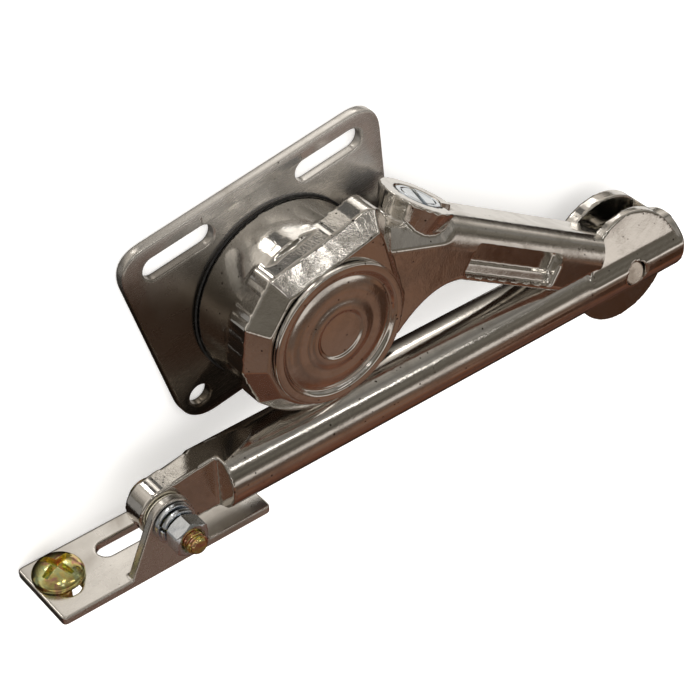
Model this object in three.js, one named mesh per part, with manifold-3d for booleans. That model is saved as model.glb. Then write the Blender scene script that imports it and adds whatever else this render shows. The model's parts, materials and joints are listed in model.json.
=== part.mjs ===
// Spring door closer with a folding arm.
//
// A steel plate carries a riveted spindle. A cast swing arm turns on the spindle, and its
// hub is a drum that hides the return spring. The arm's tongue works in the fork of a round
// link rod, and the rod's flattened end is bolted to the ear of an angled foot bracket.
// All three pivots are parallel to +Z, as the hinge line of the door is.
//
// Millimetres, +Z up. The origin is on the spindle axis, on the plate's back face.
// +X runs along the plate's long edge towards the elbow, +Y towards the slotted edge.

import * as THREE from 'three';
import { mergeVertices } from 'three/addons/utils/BufferGeometryUtils.js';
import Module from 'manifold-3d';

const wasm = await Module();
wasm.setup();

// ---------------------------------------------------------------- clearances
const GAP = 0.3;            // between pieces that touch on a seat
const CUT_OVER = 1;         // how far a cutting tool runs past the face it cuts
const CUT_HEIGHT = 40;      // top of a cutting tool that clears every piece

// ---------------------------------------------------------------- mounting plate
const PLATE_THICKNESS = 2.8;
const PLATE_TOP = 30.6;             // slotted edge above the spindle axis
const PLATE_BOTTOM = 22.5;          // lower edge below the spindle axis
const PLATE_TOP_HALF = 35.6;          // half length of the slotted edge
const PLATE_BOTTOM_HALF = 30.5;
const PLATE_TOP_CORNER = 7.5;
const PLATE_BOTTOM_CORNER = 9;
const SLOT_LENGTH = 18.4;
const SLOT_WIDTH = 5.6;
const SLOT_EDGE_TOP = 6.4;          // slot centre line below the slotted edge
const SLOT_EDGE_SIDE = 15.2;        // slot centre in from the end of the slotted edge
const SCREW_HOLE = 5.4;             // diameter
const HOLE_EDGE_BOTTOM = 6.6;
const HOLE_EDGE_SIDE = 4.9;

// ---------------------------------------------------------------- spindle and bearings
const SPINDLE_RADIUS = 5;
const SPIGOT_RADIUS = 4;            // riveted end in the plate
const FLANGE_RADIUS = 9;
const FLANGE_HEIGHT = 1.8;
const GROOVE_DEPTH = 0.8;
const RING_THICKNESS = 1;
const RING_WIDTH = 2.4;             // radial width of the retaining ring
const THRUST_THICKNESS = 1;
const THRUST_RADIUS = 8.6;
const BUSH_WALL = 1.2;
const SMALL_BUSH_WALL = 1;          // elbow and foot bushes
const SPINDLE_NOSE = 1.2;           // spindle end beyond the retaining ring
const SPINDLE_CHAMFER = 0.6;
const RING_MOUTH = 6.8;             // opening of the retaining ring

// ---------------------------------------------------------------- drum (hub of the arm)
const DRUM_RADIUS = 22;
const DRUM_WALL = 2.8;
const DRUM_BACK = 3.6;              // rim of the drum above the plate's back face
const DRUM_SHOULDER = 14.5;         // where the faceted head starts
const HEAD_RADIUS = 22.2;
const HEAD_FRONT = 24.6;              // flat front face
const HEAD_CHAMFER = 4;
const HEAD_FACETS = [118, 148, 176, 204];   // corners of the faceted side, degrees in the plate's frame
const TIP_DISTANCE = 29;          // blunt tip of the head from the spindle axis
const TIP_ANGLE = 51;               // its direction in the plate's frame, degrees
const TIP_BLUNT = 6;                // length of the blunt tip's sides
const TIP_LEFT = 188;               // directions of those sides in the plate's frame, degrees
const TIP_RIGHT = 290;
const HEAD_FACET_RISE = 0.5;        // facet corners outside the head's round
const HEAD_ROUND_START = 8;         // the round starts this far after the last facet, degrees
const HEAD_ROUND_END = 20;          // and ends this far past the spindle-elbow line
const HEAD_OVERLAP = 2;             // drum and head share this much height
const ROOF_THICKNESS = 5;           // metal between the spring room and the cap's pocket
const POCKET_RADIUS = 14.6;
const POCKET_DEPTH = 4.2;
const SEAL_RADIUS = 23.1;
const SEAL_SECTION = 0.55;          // radius of the round section
const SEAL_SIDES = 8;

// ---------------------------------------------------------------- hub cap
const CAP_RADIUS = 17.4;
const CAP_THICKNESS = 1;
const CAP_BEAD = 1.3;               // height of the rim bead
const CAP_CENTRE_RADIUS = 7.2;
const CAP_SKIRT_WALL = 1.1;
const CAP_SKIRT_DEPTH = 2.6;
const CAP_EDGE = 0.4;               // radius on the rim's back edge
const CAP_BEAD_WIDTH = 2.4;
const CAP_GROOVE = 0.4;             // depth of the grooves beside the bead and the centre
const CAP_CENTRE_EDGE = 1;          // sloping edge of the raised centre

// ---------------------------------------------------------------- return spring
const WIRE_RADIUS = 1.5;
const SPRING_RADIUS = 14;           // to the middle of the wire
const SPRING_TURNS = 3;
const ANCHOR_RADIUS = 1.6;          // pin that holds the spring's end on the plate
const ANCHOR_DIRECTION = 270;       // of the pin seen from the spindle, degrees
const SPRING_STEPS = 20;            // facets along each turn

// ---------------------------------------------------------------- swing arm
const ARM_LENGTH = 100.8;           // spindle axis to elbow axis
const ARM_DIRECTION = -28.7;        // of the elbow seen from the spindle at rest, degrees
const ARM_WIDTH = 14;
const ARM_BEND_X = 34;              // start of the straight part along the spindle-elbow line
const ARM_BEND_Y = 14.6;            // and how far it stands off that line
const ARM_END_SETBACK = 9.3;        // end of the arm's body before the elbow axis
const ARM_BACK = 7.4;
const ARM_FRONT = 23.6;
const ARM_CHAMFER = 4;
const WEB_LOWER = -5;               // where the arm's lower edge leaves the drum
const WEB_INSET = 1.6;              // and how far inside the head's round it does so
const WEB_BLEND_START = 4;          // the lower edge curves down to the drum from here,
const WEB_BLEND_REACH = 6;          // with its control point this far from the drum
const ARM_LIP_CHAMFER = 0.8;        // crisp edge along the arm's lower side
const NAME_POCKET_LENGTH = 32;
const NAME_POCKET_WIDTH = 8.4;
const NAME_POCKET_DEPTH = 3;
const NAME_POCKET_LIP = 1.3;        // metal left below the pocket
const NAME_POCKET_START = 4;        // from the bend, along the arm
const NAME_POCKET_LOW_CORNER = 1;
const NAME_POCKET_HIGH_CORNER = 2;

// ---------------------------------------------------------------- adjuster boss on the arm
const BOSS_X = 24.6;                // centre of the boss's face, arm frame
const BOSS_Y = 25.2;
const BOSS_Z = 14.4;
const BOSS_TILT = 77;               // direction the boss faces, arm frame, degrees
const BOSS_RADIUS = 9.6;
const BOSS_ROOT_RADIUS = 3;
const BOSS_DEPTH = 19;
const ADJUSTER_HEAD_RADIUS = 5.6;
const ADJUSTER_HEAD_HEIGHT = 2.6;
const ADJUSTER_SHANK_RADIUS = 3;
const ADJUSTER_SHANK_LENGTH = 9;
const ADJUSTER_SLOT_WIDTH = 1.4;
const ADJUSTER_SLOT_DEPTH = 1.3;
const ADJUSTER_SLOT_TURN = 65;      // degrees about the boss's axis
const ADJUSTER_EDGE = 0.5;
const ADJUSTER_WASHER = 0.8;
const SCREW_POINT = 0.6;            // chamfer on the end of each screw

// ---------------------------------------------------------------- elbow
const ROD_DRUM_AIR = 2.1;           // between the folded rod and the drum's head at rest
const ELBOW_Z = 12.6;               // middle of the fork's slot
const TONGUE_THICKNESS = 3.8;
const TONGUE_WIDTH = 12;
const TONGUE_END_RADIUS = 7.4;
const TONGUE_REACH = 19.5;          // from the elbow axis into the arm's body
const ELBOW_WASHER = 0.5;
const ELBOW_WASHER_RADIUS = 6.4;
const ELBOW_PIN_RADIUS = 3;
const ELBOW_PIN_HEAD_RADIUS = 4.6;
const ELBOW_PIN_HEAD = 1;
const FORK_RADIUS = 15.5;
const FORK_BACK = 6;
const FORK_FRONT = 18.4;
const FORK_RUN = 0.8;               // air round the fork's discs and over the rod
const SLOT_END = 10.6;              // closed end of the fork's slot beyond the axis
const FORK_SLOT_ROOM = 3;           // slot beyond the tongue's root
const CHEEK_FLAT = 2;               // front cheek leaves the rod's crown over this width
const CHEEK_DROP = 0.25;            // and has dropped this far at its end
const CHEEK_SINK = 0.05;            // below the rod's crown where it starts
const PIN_EDGE = 0.5;               // worn edge of the elbow pin's front end
const PIN_SINK = 0.1;               // pin's front end below the rod's crown

// ---------------------------------------------------------------- link rod
const ROD_RADIUS = 8;
const ROD_Z = 15.1;
const ROD_LENGTH = 138.5;           // elbow axis to foot pivot
const ROD_TAIL = 17.4;              // rod beyond the elbow axis
const ROD_EDGE = 1;
const FLAT_LENGTH = 14.5;           // shoulder of the flat from the foot pivot
const FLAT_FRONT = 16.6;
const FLAT_BACK = 10.4;
const ROD_NOSE = 6.2;               // round end about the foot pivot
const FOOT_PIVOT_OFFSET = -1.2;     // foot pivot off the rod's axis
const ROD_TAPER_LENGTH = 34;        // the rod slopes down to its nose over this length

// ---------------------------------------------------------------- foot bracket
const STRIP_DROP = 11.4;            // strip's upper face below the foot pivot
const STRIP_THICKNESS = 2.2;
const STRIP_FRONT = 19.8;
const STRIP_WIDTH = 19.6;
const STRIP_LEFT = 29.4;            // from the foot pivot
const STRIP_RIGHT = 26;
const STRIP_CORNER = 1.2;
const STRIP_TAIL_CORNER = 6;
const EAR_THICKNESS = 2.3;
const EAR_RADIUS = 5.6;
const EAR_BASE_LEFT = 12.2;
const EAR_BASE_RIGHT = 9.6;
const EAR_ARC_START = -8;           // the ear's round end, degrees
const EAR_ARC_END = 150;
const FOOT_SLOT_WIDTH = 5;
const FOOT_SLOT_LEFT = 12.8;        // end of the long slot from the foot pivot
const FOOT_SLOT_RIGHT = 12;
const FOOT_SLOT_Z = 7.4;
const CROSS_SLOT_X = 23.2;          // middle of the cross slot from the foot pivot
const CROSS_SLOT_WIDTH = 5.6;
const CROSS_SLOT_LENGTH = 11;
const CROSS_SLOT_Z = 9.4;

// ---------------------------------------------------------------- foot pivot hardware
const BOLT_RADIUS = 2.5;
const BOLT_HEAD_RADIUS = 4.4;       // low round head
const BOLT_SPOT_FACE = 11;          // flat under the head reaches this far along the rod
const BOLT_HEAD_HEIGHT = 1.6;
const BOLT_HEAD_EDGE = 0.5;
const BOLT_POINT = 0.8;             // chamfer on the bolt's end
const BOLT_END = 30.5;
const WASHER_RADIUS = 5;
const WASHER_THICKNESS = 1.2;
const INNER_WASHER_THICKNESS = 0.5;
const SPRING_WASHER_RADIUS = 4.5;
const SPRING_WASHER_THICKNESS = 1.4;
const SPRING_WASHER_SPLIT = 0.8;
const NUT_FLATS = 8;
const NUT_HEIGHT = 4.6;
const NUT_CHAMFER_RISE = 1;         // chamfer cone beyond the flats
const NUT_CHAMFER = 1.3;            // and how far in it reaches at the end faces
const NUT_CHAMFER_HEIGHT = 0.75;
const FOOT_SCREW_RADIUS = 2.4;
const FOOT_SCREW_LENGTH = 9;        // under the head
const FOOT_SCREW_HEAD_RADIUS = 6;
const FOOT_SCREW_HEAD_HEIGHT = 3.6;
const FOOT_SCREW_Z = 7.8;
const FOOT_SCREW_RECESS = 1.2;
const FOOT_SCREW_CROSS = 6.9;       // length of each bar of the cross
const FOOT_SCREW_BAR = 1.3;         // and its width
const FOOT_SCREW_TURN = 20;         // of the cross about the screw, degrees
const FOOT_SCREW_RIM = 0.5;         // upright rim under the dome
const DOME_STEPS = 4;

// ---------------------------------------------------------------- facets
const FINE = 48;
const MEDIUM = 32;
const COARSE = 20;

// ---------------------------------------------------------------- materials
const finish = (color, roughness, metalness) =>
  new THREE.MeshStandardMaterial({ color, roughness, metalness });
const platedCasting = () => finish(0xb9b2a8, 0.28, 1);
const satinSteel = () => finish(0xa9a39a, 0.36, 1);
const zincPlate = () => finish(0xc3c9cf, 0.34, 1);
const yellowZinc = () => finish(0xc9b26a, 0.33, 1);
const bearingBronze = () => finish(0x9a7a48, 0.45, 1);
const springSteel = () => finish(0x4a4a4c, 0.45, 1);
const blackRubber = () => finish(0x161616, 0.8, 0);
const nylon = () => finish(0xd8d4c4, 0.6, 0);

// ---------------------------------------------------------------- solids
const degrees = (angle) => THREE.MathUtils.degToRad(angle);

const polar = (radius, angle) =>
  new THREE.Vector2(radius * Math.cos(degrees(angle)), radius * Math.sin(degrees(angle)));

function solid(geometry) {
  const bare = geometry.index ? geometry.toNonIndexed() : geometry.clone();
  bare.deleteAttribute('normal');
  bare.deleteAttribute('uv');
  const merged = mergeVertices(bare, 1e-4);
  return new wasm.Manifold(new wasm.Mesh({
    numProp: 3,
    vertProperties: new Float32Array(merged.attributes.position.array),
    triVerts: new Uint32Array(merged.index.array),
  }));
}

function named(name, body, material) {
  const mesh = body.getMesh();
  const geometry = new THREE.BufferGeometry();
  geometry.setAttribute('position', new THREE.BufferAttribute(mesh.vertProperties, 3));
  geometry.setIndex(new THREE.BufferAttribute(mesh.triVerts, 1));
  geometry.computeVertexNormals();
  const node = new THREE.Mesh(geometry, material);
  node.name = name;
  return node;
}

// A disc or rod with its axis along Z, from z = bottom to z = top.
function rod(radius, bottom, top, x = 0, y = 0, sides = MEDIUM) {
  const geometry = new THREE.CylinderGeometry(radius, radius, top - bottom, sides);
  geometry.rotateX(Math.PI / 2);
  geometry.translate(x, y, (bottom + top) / 2);
  return solid(geometry);
}

function hexagon(flats, bottom, top) {
  const geometry = new THREE.CylinderGeometry(flats / Math.sqrt(3), flats / Math.sqrt(3), top - bottom, 6);
  geometry.rotateX(Math.PI / 2);
  geometry.translate(0, 0, (bottom + top) / 2);
  return solid(geometry);
}

function block(x0, x1, y0, y1, z0, z1) {
  const geometry = new THREE.BoxGeometry(x1 - x0, y1 - y0, z1 - z0);
  geometry.translate((x0 + x1) / 2, (y0 + y1) / 2, (z0 + z1) / 2);
  return solid(geometry);
}

function turned(points, sides = MEDIUM) {
  const profile = points.map(([radius, height]) => new THREE.Vector2(radius, height));
  const geometry = new THREE.LatheGeometry([...profile, profile[0]], sides);
  geometry.rotateX(Math.PI / 2);
  return solid(geometry);
}

function ring(outer, inner, bottom, top, sides = MEDIUM) {
  return turned([[inner, bottom], [outer, bottom], [outer, top], [inner, top]], sides);
}

function slab(shape, bottom, top, chamfer = 0, curveSegments = 10) {
  const geometry = new THREE.ExtrudeGeometry(shape, {
    depth: top - bottom - 2 * chamfer,
    bevelEnabled: chamfer > 0,
    bevelThickness: chamfer,
    bevelSize: chamfer,
    bevelOffset: -chamfer,
    bevelSegments: 1,
    curveSegments,
  });
  geometry.translate(0, 0, bottom + chamfer);
  return solid(geometry);
}

// An outline through corner points, each rounded with its own radius.
function rounded(corners) {
  const shape = new THREE.Shape();
  corners.forEach(({ at, radius }, index) => {
    const before = corners[(index + corners.length - 1) % corners.length].at;
    const after = corners[(index + 1) % corners.length].at;
    const toBefore = before.clone().sub(at).normalize();
    const toAfter = after.clone().sub(at).normalize();
    const half = toBefore.angleTo(toAfter) / 2;
    const reach = radius / Math.tan(half);
    const start = at.clone().addScaledVector(toBefore, reach);
    const end = at.clone().addScaledVector(toAfter, reach);
    if (index === 0) shape.moveTo(start.x, start.y);
    else shape.lineTo(start.x, start.y);
    shape.quadraticCurveTo(at.x, at.y, end.x, end.y);
  });
  shape.closePath();
  return shape;
}

// A slot with round ends, cut along Z; length is over its ends.
function longHole(length, width, x, y, bottom, top) {
  const half = length / 2 - width / 2;
  return block(x - half, x + half, y - width / 2, y + width / 2, bottom, top)
    .add(rod(width / 2, bottom, top, x - half, y, COARSE))
    .add(rod(width / 2, bottom, top, x + half, y, COARSE));
}

const corner = (x, y, radius) => ({ at: new THREE.Vector2(x, y), radius });

// ---------------------------------------------------------------- levels that follow from the sizes
const FLANGE_BOTTOM = PLATE_THICKNESS + GAP;
const FLANGE_TOP = FLANGE_BOTTOM + FLANGE_HEIGHT;
const LOWER_THRUST = FLANGE_TOP + GAP;
const LOWER_BUSH = LOWER_THRUST + THRUST_THICKNESS + GAP;
const POCKET_FLOOR = HEAD_FRONT - POCKET_DEPTH;
const ROOM_TOP = POCKET_FLOOR - ROOF_THICKNESS;
const UPPER_THRUST = POCKET_FLOOR + GAP;
const RING_BOTTOM = UPPER_THRUST + THRUST_THICKNESS + GAP;
const SPINDLE_TOP = RING_BOTTOM + RING_THICKNESS + GAP + SPINDLE_NOSE;
const BUSH_INNER = SPINDLE_RADIUS + GAP;
const BUSH_OUTER = BUSH_INNER + BUSH_WALL;
const BUSH_BORE = BUSH_OUTER + GAP;
const HUB_RADIUS = BUSH_BORE + DRUM_WALL;
const ELBOW_FOLD = Math.asin((HEAD_RADIUS + ROD_DRUM_AIR + ROD_RADIUS) / ARM_LENGTH);   // radians, at rest
const BUSH_MIDDLE = (LOWER_BUSH + POCKET_FLOOR) / 2;
const ROOM_RADIUS = DRUM_RADIUS - DRUM_WALL;
const ELBOW_BUSH_INNER = ELBOW_PIN_RADIUS + GAP;
const ELBOW_BUSH_OUTER = ELBOW_BUSH_INNER + SMALL_BUSH_WALL;
const ELBOW_BORE = ELBOW_BUSH_OUTER + GAP;
const TONGUE_BACK = ELBOW_Z - TONGUE_THICKNESS / 2;
const TONGUE_TOP = ELBOW_Z + TONGUE_THICKNESS / 2;
const FORK_SLOT_BACK = TONGUE_BACK - ELBOW_WASHER - 2 * GAP;
const FORK_SLOT_TOP = TONGUE_TOP + ELBOW_WASHER + 2 * GAP;
const FOOT_BUSH_INNER = BOLT_RADIUS + GAP;
const FOOT_BUSH_OUTER = FOOT_BUSH_INNER + SMALL_BUSH_WALL;
const FOOT_BORE = FOOT_BUSH_OUTER + GAP;
const EAR_BACK = STRIP_FRONT - EAR_THICKNESS;
const STRIP_BACK = STRIP_FRONT - STRIP_WIDTH;
const ROD_FRONT = ROD_Z + ROD_RADIUS;

// ---------------------------------------------------------------- fixed pieces
function mountPlate() {
  const outline = rounded([
    corner(-PLATE_BOTTOM_HALF, -PLATE_BOTTOM, PLATE_BOTTOM_CORNER),
    corner(PLATE_BOTTOM_HALF, -PLATE_BOTTOM, PLATE_BOTTOM_CORNER),
    corner(PLATE_TOP_HALF, PLATE_TOP, PLATE_TOP_CORNER),
    corner(-PLATE_TOP_HALF, PLATE_TOP, PLATE_TOP_CORNER),
  ]);
  let plate = slab(outline, 0, PLATE_THICKNESS);
  plate = plate.subtract(rod(SPIGOT_RADIUS + GAP, -CUT_OVER, PLATE_THICKNESS + CUT_OVER));
  for (const side of [-1, 1]) {
    const slotX = side * (PLATE_TOP_HALF - SLOT_EDGE_SIDE);
    const slotY = PLATE_TOP - SLOT_EDGE_TOP;
    const holeX = side * (PLATE_BOTTOM_HALF - HOLE_EDGE_SIDE);
    const holeY = HOLE_EDGE_BOTTOM - PLATE_BOTTOM;
    const past = PLATE_THICKNESS + CUT_OVER;
    plate = plate.subtract(longHole(SLOT_LENGTH, SLOT_WIDTH, slotX, slotY, -CUT_OVER, past));
    plate = plate.subtract(rod(SCREW_HOLE / 2, -CUT_OVER, past, holeX, holeY, COARSE));
  }
  const anchor = polar(SPRING_RADIUS, ANCHOR_DIRECTION);
  const anchorTop = PLATE_THICKNESS + CUT_OVER;
  plate = plate.subtract(rod(ANCHOR_RADIUS + GAP, -CUT_OVER, anchorTop, anchor.x, anchor.y, COARSE));
  return named('mount_plate', plate, satinSteel());
}

function spindle() {
  const neck = SPINDLE_RADIUS - GROOVE_DEPTH;
  const ringTop = RING_BOTTOM + RING_THICKNESS;
  const body = turned([
    [0, 0], [SPIGOT_RADIUS, 0], [SPIGOT_RADIUS, FLANGE_BOTTOM], [FLANGE_RADIUS, FLANGE_BOTTOM],
    [FLANGE_RADIUS, FLANGE_TOP], [SPINDLE_RADIUS, FLANGE_TOP], [SPINDLE_RADIUS, RING_BOTTOM - GAP],
    [neck, RING_BOTTOM - GAP], [neck, ringTop + GAP], [SPINDLE_RADIUS, ringTop + GAP],
    [SPINDLE_RADIUS, SPINDLE_TOP - SPINDLE_CHAMFER], [SPINDLE_RADIUS - SPINDLE_CHAMFER, SPINDLE_TOP],
    [0, SPINDLE_TOP],
  ]);
  return named('spindle', body, satinSteel());
}

function anchorPin() {
  const at = polar(SPRING_RADIUS, ANCHOR_DIRECTION);
  const body = rod(ANCHOR_RADIUS, 0, PLATE_THICKNESS + 2 * WIRE_RADIUS, at.x, at.y, COARSE);
  return named('spring_anchor_pin', body, satinSteel());
}

class SpringCoil extends THREE.Curve {
  constructor(radius, bottom, top, turns) {
    super();
    Object.assign(this, { radius, bottom, top, turns });
  }

  getPoint(share, target = new THREE.Vector3()) {
    const angle = share * this.turns * 2 * Math.PI;
    const height = this.bottom + share * (this.top - this.bottom);
    return target.set(this.radius * Math.cos(angle), this.radius * Math.sin(angle), height);
  }
}

function returnSpring() {
  const bottom = PLATE_THICKNESS + 2 * WIRE_RADIUS + GAP + WIRE_RADIUS;
  const top = ROOM_TOP - GAP - WIRE_RADIUS;
  const path = new SpringCoil(SPRING_RADIUS, bottom, top, SPRING_TURNS);
  const wire = new THREE.Shape();
  wire.absarc(0, 0, WIRE_RADIUS, 0, 2 * Math.PI);
  const geometry = new THREE.ExtrudeGeometry(wire, {
    steps: SPRING_TURNS * SPRING_STEPS,
    curveSegments: 5,
    extrudePath: path,
  });
  return named('return_spring', solid(geometry), springSteel());
}

function drumSeal() {
  const z = PLATE_THICKNESS + SEAL_SECTION + GAP;
  const section = [];
  for (let step = 0; step < SEAL_SIDES; step += 1) {
    const at = polar(SEAL_SECTION, step * 360 / SEAL_SIDES);
    section.push([SEAL_RADIUS + at.x, z + at.y]);
  }
  return named('drum_seal', turned(section, FINE), blackRubber());
}

function lowerThrustWasher() {
  const body = ring(THRUST_RADIUS, BUSH_INNER, LOWER_THRUST, LOWER_THRUST + THRUST_THICKNESS);
  return named('lower_thrust_washer', body, bearingBronze());
}

function upperThrustWasher() {
  const body = ring(THRUST_RADIUS, BUSH_INNER, UPPER_THRUST, UPPER_THRUST + THRUST_THICKNESS);
  return named('upper_thrust_washer', body, bearingBronze());
}

function retainingRing() {
  const inner = SPINDLE_RADIUS - GROOVE_DEPTH + GAP;
  const outer = inner + RING_WIDTH + GROOVE_DEPTH;
  const mouth = RING_MOUTH / 2;
  const top = RING_BOTTOM + RING_THICKNESS;
  let body = ring(outer, inner, RING_BOTTOM, top);
  body = body.subtract(block(0, outer + CUT_OVER, -mouth, mouth, RING_BOTTOM - CUT_OVER, top + CUT_OVER));
  return named('retaining_ring', body, springSteel());
}

// ---------------------------------------------------------------- swing arm
// The arm's own frame has its origin on the spindle axis and +X towards the elbow.
function headOutline() {
  const fromPlate = (radius, angle) => polar(radius, angle - ARM_DIRECTION);
  const shape = new THREE.Shape();
  const facets = HEAD_FACETS.map((angle) => fromPlate(HEAD_RADIUS + HEAD_FACET_RISE, angle));
  const tip = fromPlate(TIP_DISTANCE, TIP_ANGLE);
  const tipLeft = tip.clone().add(polar(TIP_BLUNT, TIP_LEFT - ARM_DIRECTION));
  const tipRight = tip.clone().add(polar(TIP_BLUNT, TIP_RIGHT - ARM_DIRECTION));
  shape.moveTo(tipLeft.x, tipLeft.y);
  facets.forEach((at) => shape.lineTo(at.x, at.y));
  const last = HEAD_FACETS[HEAD_FACETS.length - 1] - ARM_DIRECTION;
  shape.absarc(0, 0, HEAD_RADIUS, degrees(last + HEAD_ROUND_START), degrees(360 + HEAD_ROUND_END), false);
  shape.lineTo(tipRight.x, tipRight.y);
  shape.lineTo(tip.x, tip.y);
  shape.closePath();
  return shape;
}

// The arm's outline, from an upper edge that stands off its middle line down to its lower edge.
function armOutline(upperHalf) {
  const elbow = new THREE.Vector2(ARM_LENGTH, 0);
  const bend = new THREE.Vector2(ARM_BEND_X, ARM_BEND_Y);
  const along = elbow.clone().sub(bend).normalize();
  const across = new THREE.Vector2(-along.y, along.x);
  const end = elbow.clone().addScaledVector(along, -ARM_END_SETBACK);
  const lowerHalf = ARM_WIDTH / 2;
  const upperBend = bend.clone().addScaledVector(across, upperHalf);
  const upperEnd = end.clone().addScaledVector(across, upperHalf);
  const lowerEnd = end.clone().addScaledVector(across, -lowerHalf);
  const lowerBend = bend.clone().addScaledVector(across, -lowerHalf).addScaledVector(along, WEB_BLEND_START);
  const web = new THREE.Vector2(HEAD_RADIUS - WEB_INSET, WEB_LOWER);
  const shape = new THREE.Shape();
  shape.moveTo(0, upperBend.y);
  shape.lineTo(upperBend.x, upperBend.y);
  shape.lineTo(upperEnd.x, upperEnd.y);
  shape.lineTo(lowerEnd.x, lowerEnd.y);
  shape.lineTo(lowerBend.x, lowerBend.y);
  shape.quadraticCurveTo(web.x + WEB_BLEND_REACH, lowerBend.y, web.x, web.y);
  shape.lineTo(0, web.y);
  shape.closePath();
  return shape;
}

// Places a piece made along +Z from z = 0 so that it runs back from the boss's face.
function onBoss(geometry) {
  geometry.rotateY(Math.PI / 2);
  geometry.rotateZ(degrees(BOSS_TILT));
  geometry.translate(BOSS_X, BOSS_Y, BOSS_Z);
  return solid(geometry);
}

function bossCone(faceRadius, rootRadius, top, bottom, sides = MEDIUM) {
  const geometry = new THREE.CylinderGeometry(faceRadius, rootRadius, top - bottom, sides);
  geometry.rotateX(Math.PI / 2);
  geometry.translate(0, 0, (top + bottom) / 2);
  return onBoss(geometry);
}

// The strip of space that the folded link rod needs along the arm, in the arm's frame.
function rodClearance() {
  const reach = ARM_LENGTH;
  const geometry = new THREE.BoxGeometry(reach, 2 * (ROD_RADIUS + FORK_RUN), 2 * CUT_HEIGHT);
  geometry.translate(-reach / 2, 0, ELBOW_Z);
  geometry.rotateZ(ELBOW_FOLD);
  geometry.translate(ARM_LENGTH, 0, 0);
  return solid(geometry);
}

function tongue() {
  const bend = new THREE.Vector2(ARM_BEND_X - ARM_LENGTH, ARM_BEND_Y);
  const geometry = new THREE.BoxGeometry(TONGUE_REACH, TONGUE_WIDTH, TONGUE_THICKNESS);
  geometry.translate(TONGUE_REACH / 2, 0, ELBOW_Z);
  geometry.rotateZ(bend.angle());
  geometry.translate(ARM_LENGTH, 0, 0);
  return solid(geometry).add(rod(TONGUE_END_RADIUS, TONGUE_BACK, TONGUE_TOP, ARM_LENGTH, 0));
}

function namePocket() {
  const slope = Math.atan2(-ARM_BEND_Y, ARM_LENGTH - ARM_BEND_X);
  const low = -ARM_WIDTH / 2 + NAME_POCKET_LIP;
  const end = NAME_POCKET_START + NAME_POCKET_LENGTH;
  const outline = rounded([
    corner(NAME_POCKET_START, low, NAME_POCKET_LOW_CORNER),
    corner(end, low, NAME_POCKET_LOW_CORNER),
    corner(end, low + NAME_POCKET_WIDTH, NAME_POCKET_HIGH_CORNER),
    corner(NAME_POCKET_START, low + NAME_POCKET_WIDTH, NAME_POCKET_HIGH_CORNER),
  ]);
  const geometry = new THREE.ExtrudeGeometry(outline, {
    depth: NAME_POCKET_DEPTH + CUT_OVER,
    bevelEnabled: false,
    curveSegments: 4,
  });
  geometry.rotateZ(slope);
  geometry.translate(ARM_BEND_X, ARM_BEND_Y, ARM_FRONT - NAME_POCKET_DEPTH);
  return solid(geometry);
}

function swingArm() {
  const drumTop = DRUM_SHOULDER + HEAD_OVERLAP;
  const drum = turned([
    [0, DRUM_BACK], [DRUM_RADIUS, DRUM_BACK], [DRUM_RADIUS, drumTop], [0, drumTop],
  ], FINE);
  const uncut = slab(headOutline(), DRUM_SHOULDER - HEAD_CHAMFER, HEAD_FRONT, HEAD_CHAMFER, 18);
  const wide = 2 * TIP_DISTANCE;
  const head = uncut.intersect(block(-wide, wide, -wide, wide, DRUM_SHOULDER, HEAD_FRONT + CUT_OVER));
  let body = slab(armOutline(ARM_WIDTH / 2), ARM_BACK, ARM_FRONT, ARM_CHAMFER, 10);
  body = body.add(slab(armOutline(0), ARM_BACK + ARM_CHAMFER / 2, ARM_FRONT, ARM_LIP_CHAMFER, 10));
  body = body.subtract(rodClearance());
  body = body.subtract(rod(FORK_RADIUS + FORK_RUN, 0, CUT_HEIGHT, ARM_LENGTH, 0, FINE));
  body = body.subtract(namePocket());
  body = body.add(tongue());
  body = body.add(bossCone(BOSS_RADIUS, BOSS_ROOT_RADIUS, 0, -BOSS_DEPTH));
  body = body.add(drum).add(head);
  const room = ring(ROOM_RADIUS, HUB_RADIUS, DRUM_BACK - CUT_OVER, ROOM_TOP, FINE);
  const thrustSeat = rod(FLANGE_RADIUS + GAP, DRUM_BACK - CUT_OVER, LOWER_BUSH - GAP);
  body = body.subtract(room).subtract(thrustSeat.add(rod(HUB_RADIUS + GAP, 0, LOWER_BUSH - GAP)));
  body = body.subtract(rod(BUSH_BORE, 0, HEAD_FRONT + CUT_OVER));
  body = body.subtract(rod(POCKET_RADIUS, POCKET_FLOOR, HEAD_FRONT + CUT_OVER, 0, 0, FINE));
  const headSeat = ADJUSTER_HEAD_HEIGHT + ADJUSTER_WASHER + 2 * GAP;
  const headRoom = bossCone(ADJUSTER_HEAD_RADIUS + GAP, ADJUSTER_HEAD_RADIUS + GAP, CUT_OVER, -headSeat);
  const shankEnd = headSeat + ADJUSTER_SHANK_LENGTH + GAP;
  const shankRoom = bossCone(ADJUSTER_SHANK_RADIUS + GAP, ADJUSTER_SHANK_RADIUS + GAP, 0, -shankEnd, COARSE);
  body = body.subtract(headRoom).subtract(shankRoom);
  body = body.subtract(rod(ELBOW_BORE, 0, CUT_HEIGHT, ARM_LENGTH, 0));
  return named('swing_arm', body, platedCasting());
}

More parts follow.
